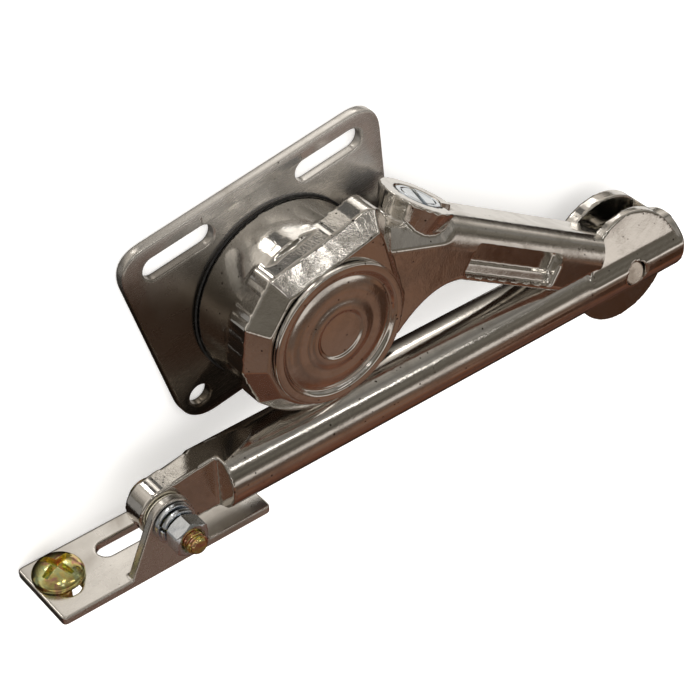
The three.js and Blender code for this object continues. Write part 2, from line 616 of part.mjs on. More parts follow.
function hubCap() {
  const seat = HEAD_FRONT + GAP;
  const skirtOuter = POCKET_RADIUS - GAP;
  const skirtInner = skirtOuter - CAP_SKIRT_WALL;
  const skirtBottom = HEAD_FRONT - CAP_SKIRT_DEPTH;
  const crown = seat + CAP_BEAD;
  const dish = seat + CAP_THICKNESS - CAP_GROOVE / 2;
  const bead = CAP_RADIUS - CAP_BEAD_WIDTH;
  const body = turned([
    [0, seat], [skirtInner, seat], [skirtInner, skirtBottom], [skirtOuter, skirtBottom], [skirtOuter, seat],
    [CAP_RADIUS - CAP_EDGE, seat], [CAP_RADIUS, seat + CAP_EDGE], [CAP_RADIUS, crown - CAP_EDGE],
    [CAP_RADIUS - CAP_EDGE, crown], [bead + CAP_EDGE, crown], [bead, crown - CAP_GROOVE],
    [bead - 2 * CAP_EDGE, crown - CAP_GROOVE], [bead - CAP_BEAD_WIDTH, dish],
    [CAP_CENTRE_RADIUS + CAP_CENTRE_EDGE, dish], [CAP_CENTRE_RADIUS, crown],
    [CAP_CENTRE_RADIUS - CAP_CENTRE_EDGE, crown],
    [CAP_CENTRE_RADIUS - 2 * CAP_CENTRE_EDGE, crown - CAP_GROOVE],
    [0, crown - CAP_GROOVE],
  ], FINE);
  return named('hub_cap', body, platedCasting());
}

function drumBush(name, bottom, top) {
  return named(name, ring(BUSH_OUTER, BUSH_INNER, bottom, top), bearingBronze());
}

function elbowBush() {
  const body = ring(ELBOW_BUSH_OUTER, ELBOW_BUSH_INNER, TONGUE_BACK, TONGUE_TOP, COARSE);
  const node = named('elbow_bush', body, bearingBronze());
  node.position.x = ARM_LENGTH;
  return node;
}

function adjusterWasher() {
  const seat = ADJUSTER_HEAD_HEIGHT + GAP;
  const geometry = new THREE.LatheGeometry([
    new THREE.Vector2(ADJUSTER_SHANK_RADIUS + GAP, -seat - ADJUSTER_WASHER),
    new THREE.Vector2(ADJUSTER_HEAD_RADIUS, -seat - ADJUSTER_WASHER),
    new THREE.Vector2(ADJUSTER_HEAD_RADIUS, -seat),
    new THREE.Vector2(ADJUSTER_SHANK_RADIUS + GAP, -seat),
    new THREE.Vector2(ADJUSTER_SHANK_RADIUS + GAP, -seat - ADJUSTER_WASHER),
  ], COARSE);
  geometry.rotateX(Math.PI / 2);
  return named('adjuster_washer', onBoss(geometry), springSteel());
}

function adjusterScrew() {
  const shankEnd = -ADJUSTER_HEAD_HEIGHT - ADJUSTER_WASHER - 2 * GAP - ADJUSTER_SHANK_LENGTH;
  const profile = [
    [0, shankEnd], [ADJUSTER_SHANK_RADIUS - SCREW_POINT, shankEnd],
    [ADJUSTER_SHANK_RADIUS, shankEnd + SCREW_POINT],
    [ADJUSTER_SHANK_RADIUS, -ADJUSTER_HEAD_HEIGHT], [ADJUSTER_HEAD_RADIUS, -ADJUSTER_HEAD_HEIGHT],
    [ADJUSTER_HEAD_RADIUS, -ADJUSTER_EDGE], [ADJUSTER_HEAD_RADIUS - ADJUSTER_EDGE, 0], [0, 0], [0, shankEnd],
  ].map(([radius, height]) => new THREE.Vector2(radius, height));
  const geometry = new THREE.LatheGeometry(profile, MEDIUM);
  geometry.rotateX(Math.PI / 2);
  const length = 2 * ADJUSTER_HEAD_RADIUS + CUT_OVER;
  const cutter = new THREE.BoxGeometry(length, ADJUSTER_SLOT_WIDTH, 2 * ADJUSTER_SLOT_DEPTH);
  cutter.rotateZ(degrees(ADJUSTER_SLOT_TURN));
  return named('adjuster_screw', onBoss(geometry).subtract(onBoss(cutter)), zincPlate());
}

// ---------------------------------------------------------------- link rod
// The rod's own frame has its origin on the elbow axis and the foot pivot on -X.
function lyingRod(radius, x0, x1, sides = FINE) {
  const geometry = new THREE.CylinderGeometry(radius, radius, x1 - x0, sides);
  geometry.rotateZ(Math.PI / 2);
  geometry.translate((x0 + x1) / 2, 0, ROD_Z);
  return solid(geometry);
}

function forkCheek() {
  const section = new THREE.Shape();
  section.moveTo(0, FORK_BACK);
  section.lineTo(FORK_RADIUS, FORK_BACK);
  section.lineTo(FORK_RADIUS, FORK_FRONT);
  section.lineTo(CHEEK_FLAT, ROD_FRONT - CHEEK_DROP);
  section.lineTo(0, ROD_FRONT - CHEEK_SINK);
  section.closePath();
  const geometry = new THREE.ExtrudeGeometry(section, {
    depth: FORK_RADIUS + ROD_TAIL - ROD_EDGE,
    bevelEnabled: false,
  });
  geometry.rotateX(Math.PI / 2);
  geometry.rotateZ(Math.PI / 2);
  geometry.translate(-FORK_RADIUS, 0, 0);
  return solid(geometry).intersect(rod(FORK_RADIUS, 0, CUT_HEIGHT, 0, 0, FINE));
}

// What is taken off the rod's upper side so that it slopes down to the round nose.
function taperCut(foot) {
  const noseTop = FOOT_PIVOT_OFFSET + ROD_NOSE;
  const wedge = new THREE.Shape();
  wedge.moveTo(foot - 2 * ROD_NOSE, noseTop);
  wedge.lineTo(foot, noseTop);
  wedge.lineTo(foot + ROD_TAPER_LENGTH, ROD_RADIUS + CUT_OVER);
  wedge.lineTo(foot - 2 * ROD_NOSE, ROD_RADIUS + CUT_OVER);
  wedge.closePath();
  return slab(wedge, 0, 2 * ROD_Z);
}

function linkRod() {
  const foot = -ROD_LENGTH;
  const wide = 2 * FORK_RADIUS;
  let body = lyingRod(ROD_RADIUS, foot - ROD_NOSE, ROD_TAIL - ROD_EDGE);
  const tail = new THREE.CylinderGeometry(ROD_RADIUS, ROD_RADIUS - ROD_EDGE, ROD_EDGE, FINE);
  tail.rotateZ(Math.PI / 2);
  tail.translate(ROD_TAIL - ROD_EDGE / 2, 0, ROD_Z);
  body = body.add(solid(tail));
  body = body.add(rod(FORK_RADIUS, FORK_BACK, FORK_FRONT, 0, 0, FINE)).add(forkCheek());
  const noseKeep = rod(ROD_NOSE, 0, CUT_HEIGHT, foot, FOOT_PIVOT_OFFSET, FINE);
  body = body.intersect(noseKeep.add(block(foot, ROD_TAIL + CUT_OVER, -wide, wide, 0, CUT_HEIGHT)));
  body = body.subtract(taperCut(foot));
  const slotLeft = -(TONGUE_REACH + FORK_SLOT_ROOM);
  const slotFloor = -(TONGUE_END_RADIUS + FORK_RUN);
  body = body.subtract(block(slotLeft, SLOT_END, slotFloor, wide, FORK_SLOT_BACK, FORK_SLOT_TOP));
  body = body.subtract(rod(ELBOW_PIN_RADIUS + GAP, 0, CUT_HEIGHT));
  const flatEnd = foot + FLAT_LENGTH;
  body = body.subtract(block(foot - wide, flatEnd, -wide, wide, FLAT_FRONT, CUT_HEIGHT));
  body = body.subtract(block(foot - wide, foot + BOLT_SPOT_FACE, -wide, wide, 0, FLAT_BACK));
  body = body.subtract(rod(FOOT_BORE, 0, CUT_HEIGHT, foot, FOOT_PIVOT_OFFSET));
  return named('link_rod', body, platedCasting());
}

function elbowPin() {
  const head = FORK_BACK - GAP - ELBOW_PIN_HEAD;
  const front = ROD_FRONT - PIN_SINK;
  const body = turned([
    [0, head], [ELBOW_PIN_HEAD_RADIUS - PIN_EDGE, head], [ELBOW_PIN_HEAD_RADIUS, head + PIN_EDGE],
    [ELBOW_PIN_HEAD_RADIUS, FORK_BACK - GAP], [ELBOW_PIN_RADIUS, FORK_BACK - GAP],
    [ELBOW_PIN_RADIUS, front - PIN_EDGE], [ELBOW_PIN_RADIUS - PIN_EDGE, front], [0, front],
  ]);
  return named('elbow_pin', body, satinSteel());
}

function elbowWasher(name, bottom) {
  const body = ring(ELBOW_WASHER_RADIUS, ELBOW_BUSH_INNER, bottom, bottom + ELBOW_WASHER);
  return named(name, body, nylon());
}

function footBush() {
  const body = ring(FOOT_BUSH_OUTER, FOOT_BUSH_INNER, FLAT_BACK, FLAT_FRONT, COARSE);
  const node = named('foot_bush', body, bearingBronze());
  node.position.set(-ROD_LENGTH, FOOT_PIVOT_OFFSET, 0);
  return node;
}

// ---------------------------------------------------------------- foot bracket
// The foot's own frame has its origin on the foot pivot, with the strip along X below it.
function footBracket() {
  const stripTop = -STRIP_DROP;
  const stripBottom = stripTop - STRIP_THICKNESS;
  const outline = rounded([
    corner(-STRIP_LEFT, -STRIP_FRONT, STRIP_CORNER),
    corner(STRIP_RIGHT, -STRIP_FRONT, STRIP_CORNER),
    corner(STRIP_RIGHT, -STRIP_BACK, STRIP_TAIL_CORNER),
    corner(-STRIP_LEFT, -STRIP_BACK, STRIP_CORNER),
  ]);
  const lay = (geometry) => {
    geometry.rotateX(-Math.PI / 2);
    return solid(geometry);
  };
  const strip = new THREE.ExtrudeGeometry(outline, {
    depth: STRIP_THICKNESS,
    bevelEnabled: false,
    curveSegments: 6,
  });
  strip.translate(0, 0, stripBottom);
  const longSlot = new THREE.Shape();
  const half = FOOT_SLOT_WIDTH / 2;
  longSlot.absarc(-FOOT_SLOT_LEFT + half, -FOOT_SLOT_Z, half, Math.PI / 2, 1.5 * Math.PI, false);
  longSlot.absarc(FOOT_SLOT_RIGHT - half, -FOOT_SLOT_Z, half, -Math.PI / 2, Math.PI / 2, false);
  longSlot.closePath();
  const crossSlot = new THREE.Shape();
  const crossHalf = CROSS_SLOT_WIDTH / 2;
  const crossReach = CROSS_SLOT_LENGTH / 2 - crossHalf;
  crossSlot.absarc(-CROSS_SLOT_X, -CROSS_SLOT_Z + crossReach, crossHalf, 0, Math.PI, false);
  crossSlot.absarc(-CROSS_SLOT_X, -CROSS_SLOT_Z - crossReach, crossHalf, Math.PI, 2 * Math.PI, false);
  crossSlot.closePath();
  let body = lay(strip);
  for (const cut of [longSlot, crossSlot]) {
    const cutter = new THREE.ExtrudeGeometry(cut, {
      depth: STRIP_THICKNESS + 2 * CUT_OVER,
      bevelEnabled: false,
      curveSegments: 8,
    });
    cutter.translate(0, 0, stripBottom - CUT_OVER);
    body = body.subtract(lay(cutter));
  }
  const ear = new THREE.Shape();
  ear.moveTo(-EAR_BASE_LEFT, stripTop - STRIP_THICKNESS / 2);
  ear.lineTo(EAR_BASE_RIGHT, stripTop - STRIP_THICKNESS / 2);
  ear.absarc(0, 0, EAR_RADIUS, degrees(EAR_ARC_START), degrees(EAR_ARC_END), false);
  ear.closePath();
  body = body.add(slab(ear, EAR_BACK, STRIP_FRONT));
  body = body.subtract(rod(BOLT_RADIUS + GAP, 0, CUT_HEIGHT));
  return named('foot_bracket', body, satinSteel());
}

function pivotBolt() {
  const headTop = FLAT_BACK - GAP;
  const headBottom = headTop - BOLT_HEAD_HEIGHT;
  const body = turned([
    [0, headBottom], [BOLT_HEAD_RADIUS - BOLT_HEAD_EDGE, headBottom],
    [BOLT_HEAD_RADIUS, headBottom + BOLT_HEAD_EDGE], [BOLT_HEAD_RADIUS, headTop], [BOLT_RADIUS, headTop],
    [BOLT_RADIUS, BOLT_END - BOLT_POINT], [BOLT_RADIUS - BOLT_POINT, BOLT_END], [0, BOLT_END],
  ]);
  return named('pivot_bolt', body, yellowZinc());
}

function innerWasher() {
  const bottom = FLAT_FRONT + GAP;
  const body = ring(WASHER_RADIUS, BOLT_RADIUS + GAP, bottom, bottom + INNER_WASHER_THICKNESS);
  return named('ear_friction_washer', body, nylon());
}

const PLAIN_WASHER = STRIP_FRONT + GAP;
const SPRING_WASHER = PLAIN_WASHER + WASHER_THICKNESS + GAP;
const NUT_BOTTOM = SPRING_WASHER + SPRING_WASHER_THICKNESS + GAP;

function plainWasher() {
  const body = ring(WASHER_RADIUS, BOLT_RADIUS + GAP, PLAIN_WASHER, PLAIN_WASHER + WASHER_THICKNESS);
  return named('plain_washer', body, zincPlate());
}

function springWasher() {
  const top = SPRING_WASHER + SPRING_WASHER_THICKNESS;
  let body = ring(SPRING_WASHER_RADIUS, BOLT_RADIUS + GAP, SPRING_WASHER, top);
  const half = SPRING_WASHER_SPLIT / 2;
  const reach = WASHER_RADIUS + CUT_OVER;
  body = body.subtract(block(0, reach, -half, half, SPRING_WASHER - CUT_OVER, top + CUT_OVER));
  return named('spring_washer', body, zincPlate());
}

function pivotNut() {
  const top = NUT_BOTTOM + NUT_HEIGHT;
  const cone = NUT_FLATS / 2 + NUT_CHAMFER_RISE;
  const face = cone - NUT_CHAMFER;
  const chamferCone = turned([
    [0, NUT_BOTTOM], [face, NUT_BOTTOM], [cone, NUT_BOTTOM + NUT_CHAMFER_HEIGHT],
    [cone, top - NUT_CHAMFER_HEIGHT], [face, top], [0, top],
  ]);
  let body = hexagon(NUT_FLATS, NUT_BOTTOM, top).intersect(chamferCone);
  body = body.subtract(rod(BOLT_RADIUS + GAP, NUT_BOTTOM - CUT_OVER, top + CUT_OVER));
  return named('pivot_nut', body, zincPlate());
}

function footScrew() {
  const seat = -STRIP_DROP + GAP;
  const head = FOOT_SCREW_HEAD_RADIUS;
  const dome = [];
  for (let step = 1; step <= DOME_STEPS; step += 1) {
    const angle = 0.5 * Math.PI * step / DOME_STEPS;
    const rise = (FOOT_SCREW_HEAD_HEIGHT - FOOT_SCREW_RIM) * Math.sin(angle);
    dome.push([head * Math.cos(angle), FOOT_SCREW_RIM + rise]);
  }
  dome[dome.length - 1][0] = 0;
  const profile = [
    [0, -FOOT_SCREW_LENGTH], [FOOT_SCREW_RADIUS - SCREW_POINT, -FOOT_SCREW_LENGTH],
    [FOOT_SCREW_RADIUS, -FOOT_SCREW_LENGTH + SCREW_POINT], [FOOT_SCREW_RADIUS, 0],
    [head, 0], [head, FOOT_SCREW_RIM], ...dome, [0, -FOOT_SCREW_LENGTH],
  ].map(([radius, height]) => new THREE.Vector2(radius, height));
  let body = solid(new THREE.LatheGeometry(profile, MEDIUM));
  for (const turn of [FOOT_SCREW_TURN, FOOT_SCREW_TURN + 90]) {
    const bar = new THREE.BoxGeometry(FOOT_SCREW_CROSS, 2 * FOOT_SCREW_RECESS, FOOT_SCREW_BAR);
    bar.translate(0, FOOT_SCREW_HEAD_HEIGHT, 0);
    bar.rotateY(degrees(turn));
    body = body.subtract(solid(bar));
  }
  const node = named('foot_screw', body, yellowZinc());
  node.position.set(-CROSS_SLOT_X, seat, FOOT_SCREW_Z);
  return node;
}

// ---------------------------------------------------------------- assembly
const foot = new THREE.Group();
foot.position.set(-ROD_LENGTH, FOOT_PIVOT_OFFSET, 0);
foot.add(
  footBracket(), pivotBolt(), innerWasher(), plainWasher(), springWasher(), pivotNut(), footScrew(),
);

const link = new THREE.Group();
link.position.x = ARM_LENGTH;
link.rotation.z = ELBOW_FOLD;
link.add(
  linkRod(), elbowPin(),
  elbowWasher('elbow_washer_back', FORK_SLOT_BACK + GAP),
  elbowWasher('elbow_washer_front', TONGUE_TOP + GAP),
  footBush(), foot,
);

const arm = new THREE.Group();
arm.rotation.z = degrees(ARM_DIRECTION);
arm.add(
  swingArm(), hubCap(),
  drumBush('lower_bush', LOWER_BUSH, BUSH_MIDDLE - GAP),
  drumBush('upper_bush', BUSH_MIDDLE, POCKET_FLOOR - GAP),
  elbowBush(), adjusterScrew(), adjusterWasher(), link,
);

const closer = new THREE.Group();
closer.add(
  mountPlate(), spindle(), anchorPin(), returnSpring(), drumSeal(), lowerThrustWasher(), upperThrustWasher(),
  retainingRing(), arm,
);

export default closer;
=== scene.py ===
"""Looks of a spring door closer with a folding arm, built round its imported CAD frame."""
import json
import math

import bmesh
import bpy
import numpy as np
from mathutils import Matrix, Vector
from mathutils.bvhtree import BVHTree


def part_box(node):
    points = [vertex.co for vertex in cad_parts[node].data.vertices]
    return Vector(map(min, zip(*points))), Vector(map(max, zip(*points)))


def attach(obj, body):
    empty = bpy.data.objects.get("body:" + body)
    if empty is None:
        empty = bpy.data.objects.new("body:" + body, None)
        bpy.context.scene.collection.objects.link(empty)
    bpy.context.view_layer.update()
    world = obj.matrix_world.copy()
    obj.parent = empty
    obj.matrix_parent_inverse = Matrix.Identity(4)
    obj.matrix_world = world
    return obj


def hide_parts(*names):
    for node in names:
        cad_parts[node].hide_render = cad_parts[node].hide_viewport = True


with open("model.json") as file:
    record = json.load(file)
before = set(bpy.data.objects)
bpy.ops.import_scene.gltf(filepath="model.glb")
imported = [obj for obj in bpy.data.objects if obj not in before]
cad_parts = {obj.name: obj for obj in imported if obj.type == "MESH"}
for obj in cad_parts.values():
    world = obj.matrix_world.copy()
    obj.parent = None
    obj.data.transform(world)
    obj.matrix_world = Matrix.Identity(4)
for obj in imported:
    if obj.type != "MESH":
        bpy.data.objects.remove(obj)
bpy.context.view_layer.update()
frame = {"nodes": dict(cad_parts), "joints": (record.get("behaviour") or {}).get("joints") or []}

bl_info = {
    "name": "Spring Door Closer",
    "version": (1, 0, 0),
    "blender": (4, 5, 0),
    "location": "3D View > Sidebar > Closer",
    "description": "Builds the finished pieces of a spring door closer round its frame",
    "category": "Object",
}


def mm(value):
    """Millimetres to metres."""
    return value * 0.001


# ---------------------------------------------------------------- places from the frame
def joint_named(name):
    """A joint's row in the frame."""
    return next(joint for joint in frame["joints"] if joint["name"] == name)


def joint_place(name):
    """A joint's point at rest, in millimetres."""
    return Vector(joint_named(name)["pos_m"]) * 1000


FOOT_PIVOT_OFFSET = -1.2  # millimetres, the foot pivot off the rod's axis
ELBOW = joint_place("elbow")
FOOT = joint_place("foot_pivot")
ADJUSTER = joint_place("adjuster_turn")
ARM_ANGLE = math.atan2(ELBOW.y, ELBOW.x)
ROD_REACH = math.sqrt((FOOT - ELBOW).xy.length_squared - FOOT_PIVOT_OFFSET ** 2)
LINK_ANGLE = math.atan2(FOOT.y - ELBOW.y, FOOT.x - ELBOW.x) - math.atan2(FOOT_PIVOT_OFFSET, -ROD_REACH)


def placed(point, angle):
    """Turned by angle about Z, then moved to a point in the plane of the plate."""
    return Matrix.Translation((point.x, point.y, 0)) @ Matrix.Rotation(angle, 4, "Z")


AT_PLATE = Matrix.Identity(4)
AT_ARM = placed(Vector((0, 0, 0)), ARM_ANGLE)
AT_LINK = placed(ELBOW, LINK_ANGLE)
AT_FOOT = placed(FOOT, LINK_ANGLE)


def node_box(node):
    """Lowest and highest corner of a CAD node, in millimetres."""
    low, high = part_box(node)
    return Vector(low) * 1000, Vector(high) * 1000


# ---------------------------------------------------------------- sizes and colours a user may change
def length(name, default, description):
    """A size in metres, given here in millimetres."""
    return bpy.props.FloatProperty(
        name=name, description=description, default=mm(default), min=0, unit="LENGTH", precision=5)


def colour(name, code, description):
    """A colour, given here as sRGB hex."""
    return bpy.props.FloatVectorProperty(
        name=name, description=description, default=linear(code)[:3], size=3, min=0, max=1, subtype="COLOR")


def linear(code):
    """sRGB hex to linear red, green, blue, alpha."""
    channels = [int(code[start:start + 2], 16) / 255 for start in (1, 3, 5)]
    return tuple(c / 12.92 if c <= 0.04045 else ((c + 0.055) / 1.055) ** 2.4 for c in channels) + (1.0,)


class PlateSizes(bpy.types.PropertyGroup):
    """Mounting plate."""
    top: length("Upper edge", 30.6, "Slotted edge from the spindle axis")
    bottom: length("Lower edge", 22.5, "Lower edge from the spindle axis")
    top_half: length("Upper half length", 35.6, "Half length of the slotted edge")
    bottom_half: length("Lower half length", 30.5, "Half length of the lower edge")
    top_corner: length("Upper corner", 7.5, "Corner size at the slotted edge")
    bottom_corner: length("Lower corner", 9.0, "Corner size at the lower edge")
    slot_length: length("Slot length", 18.4, "Slot over its ends")
    slot_width: length("Slot width", 5.6, "Slot across")
    slot_x: length("Slot from the middle", 20.4, "Slot's middle from the spindle axis, along the plate")
    slot_y: length("Slot height", 24.2, "Slot's middle from the spindle axis, across the plate")
    hole: length("Screw hole", 5.4, "Diameter of the round holes")
    hole_x: length("Hole from the middle", 25.6, "Hole from the spindle axis, along the plate")
    hole_y: length("Hole depth", 15.9, "Hole below the spindle axis")
    edge: length("Pressed edge", 0.6, "Radius that pressing and plating leave on the edges")


class CastingSizes(bpy.types.PropertyGroup):
    """Swing arm and link rod castings."""
    arm_voxel: length("Arm grain", 0.43, "Mesh size of the arm casting")
    rod_voxel: length("Rod grain", 0.4, "Mesh size of the rod casting")
    arm_round: length("Arm edge round", 7.0, "Radius along the arm's upper front edge")
    rod_radius: length("Rod radius", 8.0, "Radius of the round rod")
    rod_axis: length("Rod axis", 15.1, "Height of the rod's axis above the plate's back")
    fork_radius: length("Fork radius", 15.5, "Round end of the fork")
    nose_radius: length("Nose radius", 6.2, "Round end about the foot pivot")


class FootSizes(bpy.types.PropertyGroup):
    """Foot bracket and its fasteners."""
    drop: length("Strip drop", 11.4, "Strip's upper face below the foot pivot")
    thickness: length("Strip thickness", 2.2, "Thickness of the strip")
    ear: length("Ear thickness", 2.3, "Thickness of the ear")
    left: length("Strip left", 29.4, "Strip's screw end from the foot pivot")
    right: length("Strip right", 26.0, "Strip's round end from the foot pivot")
    slot_width: length("Long slot width", 5.0, "Long slot across")
    cross_width: length("Cross slot width", 5.6, "Cross slot across")
    cross_length: length("Cross slot length", 11.0, "Cross slot over its ends")
    bolt: length("Bolt diameter", 5.0, "Thread of the pivot bolt")
    pitch: length("Thread pitch", 0.8, "Pitch of the pivot bolt's thread")
    nut: length("Nut across flats", 8.0, "Nut across its flats")
    washer: length("Washer diameter", 10.0, "Plain washer")


class FinishColours(bpy.types.PropertyGroup):
    """Colours of the finishes."""
    nickel: colour("Nickel plate", "#E3E0DB", "Clean nickel on the castings")
    tarnish: colour("Tarnish", "#8F8475", "Where handling has dulled the nickel")
    steel: colour("Plated steel", "#D9D5CF", "Nickel on the pressed steel")
    zinc: colour("Bright zinc", "#E4EAF0", "Clear passivated zinc")
    yellow: colour("Yellow zinc", "#EFE08C", "Yellow passivated zinc")


class CloserSettings(bpy.types.PropertyGroup):
    """Everything a user may change."""
    plate: bpy.props.PointerProperty(type=PlateSizes)
    casting: bpy.props.PointerProperty(type=CastingSizes)
    foot: bpy.props.PointerProperty(type=FootSizes)
    colours: bpy.props.PointerProperty(type=FinishColours)


def in_mm(group, *names):
    """Sizes of a property group, in millimetres."""
    return [getattr(group, name) * 1000 for name in names]


# ---------------------------------------------------------------- materials
def new_material(name):
    """An empty node material and its shader."""
    material = bpy.data.materials.new(name)
    material.use_nodes = True
    tree = material.node_tree
    tree.nodes.clear()
    output = tree.nodes.new("ShaderNodeOutputMaterial")
    shader = tree.nodes.new("ShaderNodeBsdfPrincipled")
    tree.links.new(shader.outputs["BSDF"], output.inputs["Surface"])
    return material, tree, shader


def add(tree, kind, inputs=None, **settings):
    """Adds a node. Each input is a value or a socket to link from."""
    node = tree.nodes.new(kind)
    for name, value in settings.items():
        setattr(node, name, value)
    for name, value in (inputs or {}).items():
        if isinstance(value, bpy.types.NodeSocket):
            tree.links.new(value, node.inputs[name])
        else:
            node.inputs[name].default_value = value
    return node


def millimetre_space(tree):
    """Object coordinates counted in millimetres."""
    coordinates = add(tree, "ShaderNodeTexCoord")
    scale = add(tree, "ShaderNodeMapping", {
        "Vector": coordinates.outputs["Object"], "Scale": (1000, 1000, 1000)})
    return scale.outputs["Vector"]


PIT_DEPTH = 0.05                   # millimetres, how far a pore sinks
SCRATCH_DEPTH = 0.002              # millimetres, how far a hairline scratch cuts
SCRATCH_GRID = (0.09, 2.2, 2.2)    # per millimetre: drawn out along the work, close across it
SCRATCH_LEAN = (0.3, 0.2)          # radians, so that the lines show on every face
HAIRLINE = 0.009                   # share of the noise's range that makes one scratch
SHADE_SLANT = (0.35, 1, 0)           # the way the painted shade, which stands in for a dark reflection, thins out over the plate
SHADE_RAGGED = 14.0                  # millimetres, how far the painted shade's edge wanders
SHADE_FADE = (7, -15)                # millimetres about the edge, where the painted shade starts and is at its full


def worn_metal(name, bright, dull, pit, gloss, cloud=14.0, pit_size=0.16, pit_spacing=1.1, pit_share=0.35,
               scratch=0.25, grain=0.9, grain_depth=0.006, direction=0.0, edge_gloss=0.0, flat_sheen=0.12,
               tarnish=0.4, speck=0.5, speck_depth=0.002, scatter=0.0, shaded_below=None):
    """Plated metal. Sizes are in millimetres: cloud is how wide its dull patches are, pit_size and
    pit_spacing are its pores, grain and grain_depth its slow ripple, speck and speck_depth the orange peel
    that breaks reflections up in patches. direction turns its scratches, in degrees. scatter is the share
    of light that a satin plate scatters. Under the height shaded_below its colour is painted darker, painted
    shade that stands in for a dark reflection."""
    material, tree, shader = new_material(name)
    place = millimetre_space(tree)
    # dulled patches
    patches = add(tree, "ShaderNodeTexNoise", {
        "Vector": place, "Scale": 1 / cloud, "Detail": 5.0, "Roughness": 0.62, "Distortion": 0.4})
    patch = add(tree, "ShaderNodeMapRange", {
        "Value": patches.outputs["Fac"], "From Min": 0.44, "From Max": 0.68}, interpolation_type="SMOOTHSTEP")
    # pores: some of the cells hold one, each of its own size
    cells = add(tree, "ShaderNodeTexVoronoi", {"Vector": place, "Scale": 1 / pit_spacing})
    chance = add(tree, "ShaderNodeSeparateColor", {"Color": cells.outputs["Color"]})
    reach = add(tree, "ShaderNodeMath", {
        0: chance.outputs["Green"], 1: pit_size / pit_spacing}, operation="MULTIPLY")
    inside = add(tree, "ShaderNodeMath", {
        0: cells.outputs["Distance"], 1: reach.outputs[0]}, operation="LESS_THAN")
    chosen = add(tree, "ShaderNodeMath", {0: chance.outputs["Red"], 1: pit_share}, operation="LESS_THAN")
    pits = add(tree, "ShaderNodeMath", {0: inside.outputs[0], 1: chosen.outputs[0]}, operation="MULTIPLY")
    # hairline scratches, along the middle value of a drawn-out noise
    turned_place = add(tree, "ShaderNodeMapping", {
        "Vector": place, "Rotation": (*SCRATCH_LEAN, math.radians(direction)), "Scale": SCRATCH_GRID})
    lines = add(tree, "ShaderNodeTexNoise", {
        "Vector": turned_place.outputs["Vector"], "Scale": 1.0, "Detail": 3.0, "Roughness": 0.7})
    centre = add(tree, "ShaderNodeMath", {0: lines.outputs["Fac"], 1: 0.5}, operation="SUBTRACT")
    near = add(tree, "ShaderNodeMath", {0: centre.outputs[0]}, operation="ABSOLUTE")
    hairline = add(tree, "ShaderNodeMapRange", {
        "Value": near.outputs[0], "From Min": 0.0, "From Max": HAIRLINE, "To Min": 1.0, "To Max": 0.0})
    sparse = add(tree, "ShaderNodeMath", {
        0: hairline.outputs["Result"], 1: patches.outputs["Fac"]}, operation="MULTIPLY")
    # colour
    faint = add(tree, "ShaderNodeMath", {0: patch.outputs["Result"], 1: tarnish}, operation="MULTIPLY")
    worn = add(tree, "ShaderNodeMix", {
        "Factor": faint.outputs[0], "A": bright, "B": dull}, data_type="RGBA")
    specked = add(tree, "ShaderNodeMix", {
        "Factor": pits.outputs[0], "A": worn.outputs["Result"], "B": pit}, data_type="RGBA")
    shader.inputs["Metallic"].default_value = 1.0 - scatter
    if shaded_below is None:
        tree.links.new(specked.outputs["Result"], shader.inputs["Base Color"])
    else:
        # painted shade: below a ragged edge the colour is painted darker towards the plate's lower edge and
        # its left, standing in for a dark reflection, and the metal is fully metallic there
        slanted = add(tree, "ShaderNodeVectorMath", {0: place, 1: SHADE_SLANT}, operation="DOT_PRODUCT")
        ragged = add(tree, "ShaderNodeMath", {
            0: patches.outputs["Fac"], 1: SHADE_RAGGED, 2: slanted.outputs["Value"]}, operation="MULTIPLY_ADD")
        painted_shade = add(tree, "ShaderNodeMapRange", {
            "Value": ragged.outputs[0], "From Min": shaded_below + SHADE_FADE[0],
            "From Max": shaded_below + SHADE_FADE[1]}, interpolation_type="SMOOTHSTEP")
        darkened = add(tree, "ShaderNodeMix", {
            "Factor": painted_shade.outputs["Result"], "A": specked.outputs["Result"], "B": linear("#6E665C")},
            data_type="RGBA")
        tree.links.new(darkened.outputs["Result"], shader.inputs["Base Color"])
        bare = add(tree, "ShaderNodeMapRange", {
            "Value": painted_shade.outputs["Result"], "To Min": 1.0 - scatter, "To Max": 1.0})
        tree.links.new(bare.outputs["Result"], shader.inputs["Metallic"])
    # roughness: patches and scratches are duller, edges are rubbed bright
    soft = add(tree, "ShaderNodeMapRange", {
        "Value": patches.outputs["Fac"], "From Min": 0.3, "From Max": 0.7,
        "To Min": gloss, "To Max": gloss + flat_sheen})
    marred = add(tree, "ShaderNodeMath", {
        0: sparse.outputs[0], 1: scratch, 2: soft.outputs["Result"]}, operation="MULTIPLY_ADD")
    geometry = add(tree, "ShaderNodeNewGeometry")
    edges = add(tree, "ShaderNodeMapRange", {
        "Value": geometry.outputs["Pointiness"], "From Min": 0.505, "From Max": 0.56,
        "To Min": 0.0, "To Max": -edge_gloss})
    polished = add(tree, "ShaderNodeMath", {
        0: marred.outputs[0], 1: edges.outputs["Result"]}, operation="ADD", use_clamp=True)
    tree.links.new(polished.outputs[0], shader.inputs["Roughness"])
